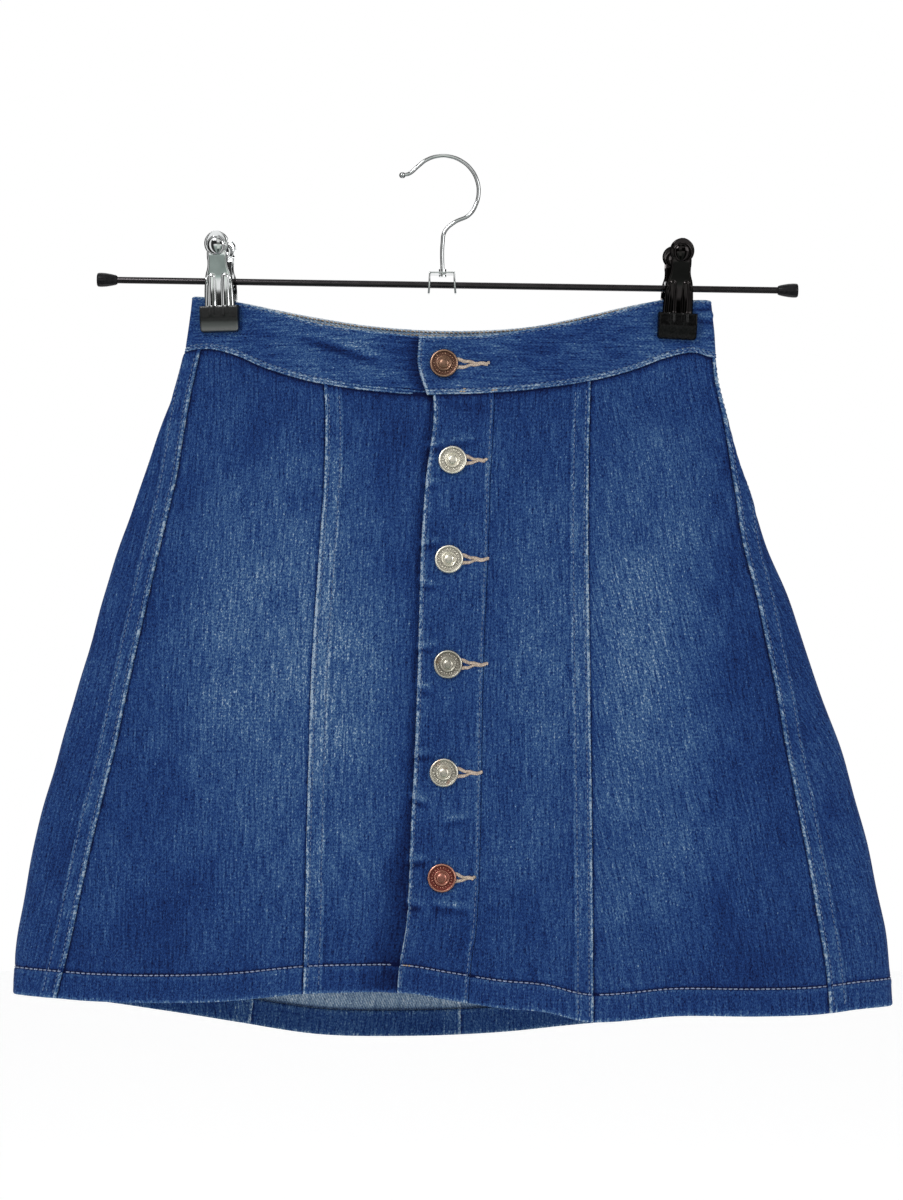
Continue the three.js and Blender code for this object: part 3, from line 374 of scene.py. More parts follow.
# Washed-out patches: the side, where, how wide and high, and how much paler. Two rows are painted light, not
# wash: the darker strip under the front of the waistband is painted shade, and the paler back hem is painted
# light where it lies in shadow.
FADES_AND_PAINTED_LIGHT = table(
    "side x z width height amount",
    (1, -113, -295, 50, 110, 0.24), (1, -56, -325, 24, 110, 0.2),
    (1, 52, -310, 22, 120, 0.13), (1, 120, -295, 44, 120, 0.25),
    (1, -170, -300, 22, 120, -0.06), (1, 185, -300, 28, 140, -0.1),
    (1, 0, -150, 160, 30, -0.05), (1, 0, -500, 300, 45, -0.045),
    (1, 130, -440, 60, 45, 0.04), (1, 8.5, -300, 16, 250, 0.035),
    (-1, -70, -250, 70, 80, 0.2), (-1, 80, -255, 70, 80, 0.2),
    (-1, 0, -515, 300, 30, 0.06),
    plain="side amount",
)
CREASES = table(
    "side x z end_x end_z width depth",
    (1, -100, -150, -140, -200, 10, 0.6), (1, -60, -200, -110, -260, 12, -0.6),
    (1, 50, -160, 75, -230, 9, 0.6), (1, 120, -160, 155, -230, 12, -0.7),
    (1, -150, -420, -170, -500, 12, 1), (1, -100, -440, -106, -510, 10, -0.8),
    (1, 45, -420, 50, -510, 10, 0.9), (1, 105, -430, 112, -515, 10, -0.9),
    (1, 160, -420, 175, -510, 12, 1), (1, -10, -150, 34, -156, 3, 1),
    (1, -30, -148, -52, -156, 3.5, 0.6), (-1, -100, -180, -40, -240, 12, 0.8),
    (-1, 110, -180, 50, -240, 12, 0.8), (-1, -30, -400, -36, -520, 12, -1),
    (-1, 30, -420, 36, -520, 12, 1),
    plain="side",
)
# The small folds that the buttons pull in the placket: where each starts, how far it runs and rises.
PULLS = table(
    "x z reach rise height",
    (-8.5, -176, 13, 2, 0.8), (-10.5, -197.5, 11, -2, 0.8), (-12.5, -234.5, 13, 1.5, 0.9),
    (-13.5, -257.5, 11, -3, 0.9), (-14.5, -296.5, 13, 2, 0.9), (-15, -320, 11, -2, 0.9),
    (-16.5, -360, 14, 1.5, 1), (-18, -385, 12, -3.5, 1), (-19.5, -422, 14, 1, 1.1),
    (-20.7, -446.5, 12, -2, 1), (-4, -447.5, 26, -3.5, 0.8), (3, -398.5, 20, 3, 0.6),
    (6, -173.5, 20, 3, 0.6),
)
PULL_WIDTH = 0.0021
UNDULATION = 0.00022
PUCKER, PUCKER_PITCH, PUCKER_REACH = 0.00011, 0.0068, 0.007
ROPING, ROPING_PITCH = 0.00018, 0.0082


def wash_and_painted_light(side, x, z):
    """How pale the cloth is washed at points of the front (side 1) or the back (side -1), with painted shade
    under the front of the waistband and painted light on the shaded back hem.
    """
    pale = 0.315
    for patch in FADES_AND_PAINTED_LIGHT:
        spot = np.exp(-(((x - patch.x) / patch.width) ** 2) - ((z - patch.z) / patch.height) ** 2)
        pale = pale + patch.amount * spot * (np.sign(side) == patch.side)
    return pale


def crease_lift(crease, x, z, power=1.0):
    """How far one crease lifts the cloth, most in its middle."""
    run = np.array([crease.end_x - crease.x, crease.end_z - crease.z])
    length = np.linalg.norm(run)
    ahead_x, ahead_z = run / length
    way = ((x - crease.x) * ahead_x + (z - crease.z) * ahead_z) / length
    off = ((z - crease.z) * ahead_x - (x - crease.x) * ahead_z) / crease.width
    return -crease.depth * np.exp(-off**2) * np.sin(np.pi * np.clip(way, 0, 1)) ** power


def creases(side, x, z):
    """How far the small creases lift the cloth."""
    lift = UNDULATION * (np.sin(x * 131 + z * 47) * np.sin(z * 89 - x * 23) + np.sin(x * 61 - z * 103))
    for crease in CREASES:
        lift = lift + crease_lift(crease, x, z) * (np.sign(side) == crease.side)
    return lift


def pulled(side, x, z):
    """How far the small folds beside the buttons lift the cloth."""
    lift = 0
    for pull in PULLS:
        way = (x - pull.x) / pull.reach
        off = (z - pull.z - pull.rise * way) / PULL_WIDTH
        ridge = np.exp(-off**2) - 0.8 * np.exp(-((off + 1.9) ** 2))
        lift = lift + pull.height * ridge * smooth(6 * way + 1) * smooth(1.4 - 1.4 * way) * (side > 0)
    return lift


def waves(place, pitch, wander=0, rate=0):
    """An even or a wandering wave."""
    return np.sin(place * 2 * np.pi / pitch + wander * np.sin(place * rate))


def sewn(mesh, *materials):
    """Makes a mesh a smooth piece of the skirt."""
    mesh.polygons.foreach_set("use_smooth", np.ones(len(mesh.polygons), bool))
    for material in materials:
        mesh.materials.append(material)
    mesh.update()
    piece = bpy.data.objects.new(mesh.name, mesh)
    bpy.context.collection.objects.link(piece)
    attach(piece, "root")
    return piece


def shell(name, outer, inner, fade_and_painted_light, cloth, reverse_rows):
    """A closed thin shell between two grids of points, rows down and columns round."""
    rows, columns = outer.shape[:2]
    count = rows * columns
    index = np.arange(count).reshape(rows, columns)
    quads, kinds = [], []

    def band(a, b, c, d, kind):
        quads.append(np.stack([a, b, c, d], axis=-1).reshape(-1, 4))
        kinds.append(np.broadcast_to(kind, a.shape).reshape(-1))

    a, b, c, d = index[:-1, :-1], index[:-1, 1:], index[1:, 1:], index[1:, :-1]
    band(a, b, c, d, 0)
    under = np.broadcast_to(np.asarray(reverse_rows)[:-1, None], a.shape).astype(int)
    band(a + count, d + count, c + count, b + count, under)
    for rim, first in ((index[0], count), (index[-1], 0), (index[:, 0], 0), (index[:, -1], count)):
        second = count - first
        band(rim[:-1] + first, rim[1:] + first, rim[1:] + second, rim[:-1] + second, 0)
    quads, kinds = np.concatenate(quads), np.concatenate(kinds)

    mesh = bpy.data.meshes.new(name)
    mesh.from_pydata(np.concatenate([outer.reshape(-1, 3), inner.reshape(-1, 3)]), [], quads)
    mesh.polygons.foreach_set("material_index", kinds.astype(np.int32))
    layer = mesh.uv_layers.new(name="cloth")
    corners = np.concatenate([cloth.reshape(-1, 2)] * 2)[quads.reshape(-1)]
    layer.data.foreach_set("uv", corners.reshape(-1))
    wear = mesh.attributes.new("fade_and_painted_light", "FLOAT", "POINT")
    wear.data.foreach_set("value", np.concatenate([fade_and_painted_light.reshape(-1)] * 2).astype(np.float32))
    return sewn(mesh, denim_face, denim_reverse)


def panel_grid(start, end, start_edge, end_edge, columns, row_step):
    """Turn and height of each point of a panel. Its edge columns keep their distance from the seams."""
    first, last = len(start_edge), len(end_edge)
    above, below = len(TOP_ROWS), len(HEM_ROWS)
    middle = int(ROWED_HEIGHT / row_step)
    down = np.linspace(0, 1, middle + 2)[1:-1]
    turn = np.full((above + middle + below, first + columns + last), 90.0)
    z = np.zeros_like(turn)
    body = slice(above, above + middle)
    for _ in range(5):
        top, hem = edge_height("seam", turn), edge_height("hem", turn)
        z[:above] = top[:above] - TOP_ROWS[:, :1]
        z[-below:] = hem[-below:] + HEM_ROWS[::-1, :1]
        high, low = top - TOP_ROWS[-1, 0], hem + HEM_ROWS[-1, 0]
        z[body] = high[body] + (low[body] - high[body]) * down[:, None]
        for seam, edge, sign, order in (
            (start, start_edge, 1, range(first)),
            (end, end_edge, -1, range(turn.shape[1] - 1, turn.shape[1] - 1 - last, -1)),
        ):
            reached = 0.0
            here = seam_turn(seam, z[:, order[0]])
            for offset, column in zip(edge[:, 0], order):
                move = sign * (offset - reached)
                level = z[:, column]
                halfway = here + move / 2 / degree(here, level)
                here = here + move / degree(halfway, level)
                turn[:, column] = here
                reached = offset
        share = np.linspace(0, 1, columns + 2)[1:-1]
        near, far = turn[:, first - 1 : first], turn[:, first + columns : first + columns + 1]
        turn[:, first : first + columns] = near + (far - near) * share
    return turn, z


def length_along(points, axis):
    steps = np.linalg.norm(np.diff(points, axis=axis), axis=-1)
    return np.cumsum(np.insert(steps, 0, 0, axis=axis), axis=axis)


def panel(
    name, start, end, start_edge, end_edge, columns,
    layer=(0, -DENIM), sunk=None, hem_turn=HEM_TURN, step=ROW_STEP,
):
    """One cut panel between two seams. Gives the points of its face and their ways out."""
    turn, z = panel_grid(start, end, start_edge, end_edge, columns, step)
    body = np.zeros((len(z) - len(TOP_ROWS) - len(HEM_ROWS), 3))
    rows = np.concatenate([TOP_ROWS, body, HEM_ROWS[::-1]])
    edge = np.concatenate([start_edge, [(0, *layer, 0)] * columns, end_edge[::-1]])
    base = sunk(turn, z) if sunk else 0 * turn
    points = face(turn, z)
    out = face_ways(turn, z)[2]
    x, side = points[..., 0], np.sin(np.radians(turn))
    above_hem = z - edge_height("hem", turn)
    from_start = length_along(points, 1)
    from_seam = np.minimum(from_start, from_start[:, -1:] - from_start)
    pucker = PUCKER * np.exp(-((from_seam / PUCKER_REACH) ** 2)) * waves(z, PUCKER_PITCH, 2, 95)
    near_hem = np.exp(-(((above_hem - 0.0165) / 0.006) ** 2)) + 0.6 * (above_hem < HEM_DEPTH)
    roping = ROPING * near_hem * waves(x + 0.4 * above_hem, ROPING_PITCH)
    pulls = pulled(side, x, z)
    small = creases(side, x, z) * np.clip(above_hem / 0.02, 0.4, 1) + pucker + roping + pulls
    small = small * np.clip((edge_height("seam", turn) - z) / 0.006, 0, 1)
    outer = points + out * (base + edge[:, 1] - rows[:, 1:2] + small)[..., None]
    turned = hem_turn * smooth((HEM_DEPTH - above_hem) / 0.0008)
    inner = points + out * (base + edge[:, 2] + np.minimum(small, 0.0002) - turned)[..., None]
    beads = 0.3 * waves(z, 0.0052, 3, 140) + 0.2 * waves(z, 0.0127)
    # Where the left front sinks under the placket it is darkened with painted shade, most where it is
    # deepest.
    fade_and_painted_light = wash_and_painted_light(side, x, z) + rows[:, 2:3] + edge[:, 3] * (1 + beads) - 0.2 * (base / STAND_UNDER) ** 2
    # Creases, puckers and the buttons' pulls are paler on their ridges and darker in their hollows: partly
    # wear, partly painted light and shade that shows their relief.
    fade_and_painted_light = fade_and_painted_light + np.clip(80 * (small - pulls), -0.12, 0.12) + np.clip(330 * pulls, -0.24, 0.2)
    cloth = np.stack([from_start + np.mean(turn[:, :1]) / 36, z], axis=-1)
    piece = shell(name + "_cloth", outer, inner, fade_and_painted_light, cloth, np.mean(above_hem, axis=1) > HEM_DEPTH)
    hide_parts(name)
    return outer, out


PLACKET = (0.0006, -0.0016)
PLACKET_CUT = {"layer": PLACKET, "hem_turn": 0, "step": 0.001}
JOINED = edge_rows((0.05, -0.1, -1.2, -0.1), (0.8, 0, -1.2, 0), (1.6, 0, -1.2, 0))
SEWN_DOWN = edge_rows(
    (0.05, 0.2, -1.6, -0.1), (0.5, 0.5, -1.6, 0.08), (1.1, 0.6, -1.6, 0.16),
    (1.7, 0.4, -1.6, 0), (2.3, 0.6, -1.6, 0.16), (3.6, 0.6, -1.6, 0.02),
)
STAND = edge_rows((2, 0, -1.2, 0), (3, 0, -1.2, 0))


def under_placket(turn, z):
    """The left front sinks under the placket, as the button stand. The dip widens towards the hem. Its depth
    also sets painted shade on the cloth, darkest where it is deepest.
    """
    past = (turn - seam_turn("placket", z)) * degree(turn, z)
    slope = 0.007 + 0.040 * smooth((-0.37 - z) / 0.13)
    return -STAND_UNDER * (1 - smooth((past - 0.001) / slope))


PANELS = [
    ("front_right_side", "right_side", "right_front", TUCKED, TUCKED, 60, {}),
    ("front_right_centre", "right_front", "stand", FELLED, JOINED, 26, {}),
    ("buttonhole_placket", "stand", "placket", SEWN_DOWN, FREE, 24, PLACKET_CUT),
    ("front_left_centre", "stand", "left_front", STAND, FELLED, 56, {"sunk": under_placket}),
    ("front_left_side", "left_front", "left_side", TUCKED, TUCKED, 68, {}),
    ("back_left_side", "left_side", "back_left", FELLED, FELLED, 70, {}),
    ("back_left_centre", "back_left", "back_middle", TUCKED, FELLED, 44, {}),
    ("back_right_centre", "back_middle", "back_right", TUCKED, FELLED, 44, {}),
    ("back_right_side", "back_right", "right_side_round", TUCKED, FELLED, 70, {}),
]
cut = {name: panel(name, *seams_and_edges, **more) for name, *seams_and_edges, more in PANELS}


# The waistband: one folded strip of denim all round, closed by the first button. Its start lies under the
# button front and its other end laps over it. Its edges are worn pale, and stitches hold it to the panels.
# Painted shade darkens its start under the lap, and painted light and shade mark its creases.
BAND = (0.0007, -0.0019)
BAND_UNDER = (-0.0023, -0.0049)
BAND_START, BAND_TURN = 82, 368
UNDER_SLOPE = 0.014
LAP_GAP = 0.0052
BAND_LAP = table("down x", (0, -14.4), (0.5, -15), (1, -9.6), plain="down")
# Distance in from the edge, how far the outer and the inner face are rounded in there, and the wear.
BAND_TOP_ROWS = edge_rows(
    (0, 1.1, 0.7, 0.38), (0.2, 0.4, 0.2, 0.42), (0.6, 0, 0, 0.35),
    (1.2, -0.1, 0, 0.2), (1.8, 0.2, 0, -0.15), (2.4, 0, 0, 0.05),
    (3.4, 0, 0, 0), (5, 0, 0, 0),
)
BAND_FOOT_ROWS = edge_rows(
    (0, 1, 0, 0), (0.2, 0.3, 0, 0.35), (0.6, -0.1, 0, 0.38),
    (1.1, 0, 0, 0.15), (1.5, 0.4, 0, -0.12), (2, -0.1, 0, 0.32),
    (2.6, -0.1, 0, 0.3), (3.1, 0.4, 0, -0.15), (3.7, 0.05, 0, 0),
    (4.8, 0, 0, 0),
)
BAND_BODY, BAND_COLUMNS = 26, 500
BAND_CREASES = table(
    "x z end_x end_z width depth",
    (-88, -110, -34, -128.5, 2.2, 1.6), (-84, -106, -30, -123.5, 3, -0.8),
    (-118, -106, -90, -112, 3, 0.4), (-60, -130, -22, -136, 2.8, -0.5),
    (-40, -118, -20, -120, 2.2, 0.5), (-12, -133, 22, -137.5, 2.4, 0.5),
    (20, -127, 40, -123.5, 2.2, 0.6), (46, -122.5, 60, -133, 2, 0.7),
    (36, -117, 70, -120.5, 2.2, 0.5), (60, -112, 92, -106, 2.6, 0.5),
    (100, -108, 122, -102, 2.6, 0.5), (151, -93, 167, -90, 1.5, 1),
    (151, -99, 167, -101, 1.8, 1.1), (152, -96, 166, -95.5, 1.6, -0.6),
)


def waistband():
    rows_foot = BAND_FOOT_ROWS[::-1]
    first, last = len(BAND_TOP_ROWS), len(rows_foot)
    share = np.r_[np.linspace(0, 1, BAND_COLUMNS), np.ones(len(FREE))]
    turn = np.tile(BAND_START + BAND_TURN * share, (first + BAND_BODY + last, 1))
    z = np.zeros_like(turn)
    for _ in range(4):
        top, foot = edge_height("top", turn), edge_height("seam", turn) + 0.00005
        z[:first] = top[:first] - BAND_TOP_ROWS[:, :1]
        z[-last:] = foot[-last:] + rows_foot[:, :1]
        high, low = top - BAND_TOP_ROWS[-1, 0], foot + rows_foot[0, 0]
        body = np.linspace(0, 1, BAND_BODY + 2)[1:-1, None]
        z[first:-last] = high[first:-last] + (low[first:-last] - high[first:-last]) * body
        down = np.clip((top - z) / (top - foot), 0, 1)
        lap = 360 + front_turn(along(BAND_LAP, "down", "x", down[:, -1:]), z[:, -1:])
        around = degree(lap, z[:, -1:])
        turn[:, :BAND_COLUMNS] = BAND_START + (lap - LAP_GAP / around - BAND_START) * share[:BAND_COLUMNS]
        turn[:, BAND_COLUMNS:] = lap - FREE[::-1, 0] / around
    past = (turn - lap + 360) * degree(turn, z)
    under = 1 - smooth((past - 0.001) / UNDER_SLOPE)
    points, out = face(turn, z), face_ways(turn, z)[2]
    x, front = points[..., 0], np.sin(np.radians(turn)) > 0
    folds = sum(crease_lift(crease, x, z, 0.7) * front for crease in BAND_CREASES)
    from_end = (lap - turn) * around
    near_foot = np.exp(-(((z - foot - 0.002) / 0.003) ** 2))
    roping = ROPING * near_foot * waves(x, 0.0056, 2, 150)
    lift = 0.0003 * np.sin(x * 83 + z * 31) * np.sin(x * 37 - z * 140) + folds + roping
    rows = np.r_[BAND_TOP_ROWS, np.zeros((BAND_BODY, 4)), rows_foot]
    lap_sink = np.interp(from_end, FREE[:, 0], 0.0006 - FREE[:, 1])
    lap_wear = np.interp(from_end, FREE[:, 0], FREE[:, 3])
    outer_lift = BAND[0] * (1 - under) + BAND_UNDER[0] * under - rows[:, 1:2] - lap_sink + lift
    inner_lift = BAND[1] * (1 - under) + BAND_UNDER[1] * under + rows[:, 2:3] + np.minimum(lift, 0)
    outer, inner = points + out * outer_lift[..., None], points + out * inner_lift[..., None]
    uneven = 1 + 0.3 * waves(x, 0.0049, 3, 170) + 0.15 * waves(x, 0.0131)
    # The band's edges and lap are worn pale. Its creases are paler on their ridges and darker in their
    # hollows, partly wear, partly painted light and shade; its start is painted in shade where it lies under
    # the lap.
    wear = (rows[:, 3:4] + 1.25 * lap_wear) * uneven + np.clip(230 * folds, -0.26, 0.2) - 0.24 * under**2
    fade_and_painted_light = 0.385 - 0.12 * x + 0.04 * np.sin(x * 60) + 0.04 * np.sin(x * 151 + z * 90) + wear
    cloth = np.stack([z, length_along(points, 1)], axis=-1)
    band = shell("waistband_cloth", outer, inner, fade_and_painted_light, cloth, np.ones(len(rows)))
    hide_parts("waistband")
    return outer, inner, out


band_face, band_lining, band_out = waistband()


# Topstitching: polyester thread, blue like the cloth in two rows along each felled seam, paler round the hem,
# and tan at the buttonholes and inside the waistband. Each stitch dips into the cloth at its ends.
def thread(name, color):
    material, nodes, shader = new_material(name)
    fibres = noise(object_place(nodes), (900, 900, 900))
    dark = [0.55 * channel for channel in color[:3]]
    fill(shader, Base_Color=ramp(fibres, [(0.35, dark), (0.6, color)]), Roughness=0.6)
    return material


blue_thread = thread("blue_thread", srgb(98, 122, 160))
pale_thread = thread("pale_thread", srgb(140, 154, 186))
tan_thread = thread("tan_thread", srgb(184, 162, 136))
hole_thread = thread("hole_thread", srgb(206, 188, 170))
RING = 5
# Place along half a stitch, lift in thicknesses, and swell.
STITCH = [(-1.0, -0.35, 0.5), (-0.5, 0.35, 1.0), (0.5, 0.35, 1.0), (1.0, -0.35, 0.5)]


def threads(name, starts, ends, out, thick, material):
    """Short lengths of thread from starts to ends, which arch out of the cloth a little."""
    ahead = unit(ends - starts)
    beside = unit(np.cross(ahead, out))
    above = np.cross(beside, ahead)
    rings = []
    for along_it, lift, swell in STITCH:
        middle = (starts + ends) / 2 + (ends - starts) / 2 * along_it + above * thick * lift
        for angle in np.arange(RING) * 2 * np.pi / RING:
            rings.append(middle + (beside * np.cos(angle) + above * np.sin(angle)) * thick / 2 * swell)
    points = np.stack(rings, axis=1)
    count, each = points.shape[0], len(STITCH) * RING
    faces = []
    for ring in range(len(STITCH) - 1):
        for k in range(RING):
            a, b = ring * RING + k, ring * RING + (k + 1) % RING
            faces.append((a, a + RING, b + RING, b))
    first = np.arange(RING)
    caps = np.array([first, (each - 1) - first])
    base = (np.arange(count) * each)[:, None, None]
    quads = (np.array(faces)[None] + base).reshape(-1, 4).tolist()
    ends_closed = (caps[None] + base).reshape(-1, RING).tolist()
    mesh = bpy.data.meshes.new(name)
    mesh.from_pydata(points.reshape(-1, 3), [], quads + ends_closed)
    return sewn(mesh, material)


def stitches(name, runs, material, pitch=0.0032, length=0.0024, thick=0.0006):
    starts, ends, ways = [], [], []
    for points, out in runs:
        run = length_along(points, 0)
        places = np.arange(pitch, run[-1] - pitch, pitch)

        def at(distance, values):
            return np.stack([np.interp(distance, run, values[:, axis]) for axis in range(3)], axis=-1)

        starts.append(at(places - length / 2, points))
        ends.append(at(places + length / 2, points))
        ways.append(at(places, out))
    return threads(name, np.concatenate(starts), np.concatenate(ends), np.concatenate(ways), thick, material)


def column(panel_name, number, first):
    points, out = cut[panel_name]
    return points[first:, number], out[first:, number]


def row(panel_name, number, first=0):
    points, out = cut[panel_name]
    return points[number, first:], out[number, first:]


NEAR, FAR = (5, -6), (12, -13)
HEM_STITCH = -1 - int(np.argmin(abs(HEM_ROWS[:, 0] - HEM_DEPTH)))
BELOW_BAND = 4


def felled_rows(end, *names):
    """Both rows of stitches along the start (0) or the end (1) of some panels."""
    return [column(name, rows[end], BELOW_BAND) for name in names for rows in (NEAR, FAR)]


front_runs = felled_rows(0, "front_right_centre", "back_left_side")
front_runs += felled_rows(1, "front_left_centre", "back_right_side")
front_runs += [column("buttonhole_placket", number, 3) for number in (-5, 3)]
stitches("front_seam_stitches", front_runs, blue_thread)
back_runs = felled_rows(1, "back_left_side", "back_left_centre", "back_right_centre")
stitches("back_seam_stitches", back_runs, blue_thread)
hem_runs = [row(name, HEM_STITCH) for name in cut if name != "front_left_centre"]
hem_runs.append(row("front_left_centre", HEM_STITCH, 30))
stitches("hem_stitches", hem_runs, pale_thread, length=0.0029, thick=0.0009)
band_runs = [(band_face[number, 40:], band_out[number, 40:]) for number in (4, -5, -8)]
band_runs.append((band_face[4:-4, -5], band_out[4:-4, -5]))
stitches("waistband_stitches", band_runs, blue_thread)


def tack(points, out, first_x, last_x):
    """The part of a stitched row on the front between two places, gone over again to fasten its end."""
    there = (points[:, 0] > first_x) & (points[:, 0] < last_x) & (out[:, 1] < 0)
    return points[there], out[there]


behind = slice(150, 372)
inside_rows = [(band_lining[k, behind], -band_out[k, behind]) for k in (3, 6)]
stitches("waistband_inside_stitches", inside_rows, tan_thread, pitch=0.0026, length=0.0021, thick=0.0009)
TACKS = ((-5, 0.0075, 0.0155), (-5, 0.0255, 0.0345), (-8, 0.0085, 0.014))
tacks = [tack(band_face[number], band_out[number], *ends) for number, *ends in TACKS]
tacks.append(tack(*row("buttonhole_placket", HEM_STITCH), -0.0245, -0.0165))
stitches("fastening_stitches", tacks, tan_thread, pitch=0.0019, length=0.0021, thick=0.0009)


# The buttonholes: a slit that runs right from under each button, whipped with tan thread along both sides
# and barred at its end. Buttons and holes are placed on the cloth by their x and height.
BUTTONS = [
    (0.0006, -0.1275), (0.0057, -0.1860), (0.0036, -0.2455),
    (0.0030, -0.3080), (0.0006, -0.3720), (-0.0006, -0.4336),
]
HOLE_ENDS = [0.0262, 0.0195, 0.0225, 0.0225, 0.0215, 0.0185]
HOLE_START, HOLE_OPEN, WHIP_PITCH = 0.0055, 0.0022, 0.00075
WHIP_HALF, BAR_HALF = 0.0013, 0.0009


def button_frame(x, z):
    """Where a button sits on the cloth: the point, the way right, the way up and the way out."""
    turn = front_turn(x, z)
    around, _, out = (value.reshape(3) for value in face_ways(np.array([turn]), np.array([z])))
    right = unit(-around)
    return face(np.array([turn]), np.array([z])).reshape(3), right, np.cross(out, right), out


hole_starts, hole_ends, hole_out = [], [], []
for (x, z), hole_end in zip(BUTTONS, HOLE_ENDS):
    spot, right, up, out = button_frame(x, z)
    surface = spot + out * (PLACKET[0] + 0.0003)
    for side in (-1, 1):
        for reach in np.arange(HOLE_START, hole_end, WHIP_PITCH):
            way = (reach - HOLE_START) / (hole_end - HOLE_START)
            off = side * (HOLE_OPEN * (1 - smooth(way / 0.75)) + 0.0004) + 0.0003 * np.sin(reach * 900)
            half = WHIP_HALF - 0.0007 * way
            middle = surface + right * reach + up * off
            hole_starts.append(middle - up * half - right * 0.0003)
            hole_ends.append(middle + up * half + right * 0.0003)
            hole_out.append(out)
    for step in range(3):
        middle = surface + right * (hole_end + 0.0004 * step) + up * 0.0006 + out * 0.0002
        hole_starts.append(middle - up * BAR_HALF)
        hole_ends.append(middle + up * BAR_HALF)
        hole_out.append(out)
whipping = [np.array(ends) for ends in (hole_starts, hole_ends, hole_out)]
threads("buttonhole_thread", *whipping, 0.0010, hole_thread)


# The shank buttons: a pressed cap with a rolled rim, a ring of small raised marks and a domed middle, on a
# neck that a disc holds from behind. They are plated metal, worn to copper in places, dark in the hollows.
BUTTON_RADIUS, CAP_DEPTH, BUTTON_SEAT = 0.0085, 0.0016, 0.0003
# The cap's rings from its rim inwards, in millimetres: how far each is set in and raised.
BUTTON_STEPS = [
    (0.25, 0.5), (0.4, 0.2), (0.5, 0), (0.3, -0.6), (2.4, 0), (0.2, 0.5),
    (0.4, 0), (0.3, -0.5), (0.6, 0), (0.3, 0.6), (0.8, 0.4), (0.9, 0.1),
]
MARKS, MARK_RADIUS, MARK_LENGTHS = 22, 0.0058, (0.0008, 0.0005, 0.0010)
NECK_RADIUS, RIVET_RADIUS, RIVET_DEPTH = 0.0016, 0.004, 0.0009
DOME_EDGE, HOLLOW_TOP = 0.0026, 0.00115
PLATING = (222, 218, 204)


def start(add, name, **settings):
    """A new primitive, alone in the selection."""
    bpy.ops.object.select_all(action="DESELECT")
    add(**settings)
    piece = bpy.context.object
    piece.name = piece.data.name = name
    return piece


def choose(pieces):
    bpy.ops.object.select_all(action="DESELECT")
    for piece in pieces:
        piece.select_set(True)
    bpy.context.view_layer.objects.active = pieces[0]


def join(*pieces):
    choose(pieces)
    bpy.ops.object.join()
    return pieces[0]


def place_mesh(piece, matrix):
    """Moves a piece by its mesh, so that its object stays at the origin."""
    choose([piece])
    bpy.ops.object.transform_apply()
    piece.data.transform(matrix)


def apply_modifiers(piece):
    choose([piece])
    for modifier in list(piece.modifiers):
        bpy.ops.object.modifier_apply(modifier=modifier.name)


def round_edges(piece, width, segments):
    bevel = piece.modifiers.new("edges", "BEVEL")
    bevel.width, bevel.segments, bevel.limit_method = width, segments, "ANGLE"


def turn_outwards():
    """Makes every face of the active piece look outwards."""
    bpy.ops.object.mode_set(mode="EDIT")
    bpy.ops.mesh.select_all(action="SELECT")
    bpy.ops.mesh.normals_make_consistent(inside=False)
    bpy.ops.object.mode_set(mode="OBJECT")


def settle(piece, material, nodes=(), angle=35):
    """Applies what shaped a piece, smooths it, gives it its finish and fixes it to the part."""
    apply_modifiers(piece)
    bpy.ops.object.transform_apply()
    bpy.ops.object.shade_smooth_by_angle(angle=np.radians(angle))
    piece.data.materials.clear()
    piece.data.materials.append(material)
    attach(piece, "root")
    if nodes:
        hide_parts(*nodes)
    return piece


def pick_faces(piece, test):
    """Selects the faces that pass a test of their centre and normal, in edit mode."""
    bpy.ops.object.mode_set(mode="EDIT")
    bpy.ops.mesh.select_mode(type="FACE")
    bpy.ops.mesh.select_all(action="DESELECT")
    faces = bmesh.from_edit_mesh(piece.data).faces
    for face_found in faces:
        face_found.select_set(test(face_found.calc_center_median(), face_found.normal))
    bmesh.update_edit_mesh(piece.data)


def button_metal(name, copper, bright, aging, raised, hollow):
    material, nodes, shader = new_material(name)
    wear = noise(object_place(nodes), (160, 160, 160), 3.0)
    silver, warm = (srgb(*(bright * c for c in color)) for color in (PLATING, raised))
    color = ramp(calc("ADD", wear, copper - 0.5), [(0.42, silver), (0.62, warm)])
    tarnish = put(nodes, "ShaderNodeAttribute", attribute_name="tarnish").outputs["Fac"]
    share = calc("MULTIPLY", tarnish, aging)
    aged = put(nodes, "ShaderNodeMix", data_type="RGBA", i0=share, i6=color, i7=srgb(*hollow)).outputs[2]
    fill(shader, Base_Color=aged, Metallic=1.0, Roughness=calc("MULTIPLY_ADD", wear, 0.25, 0.2))
    return material


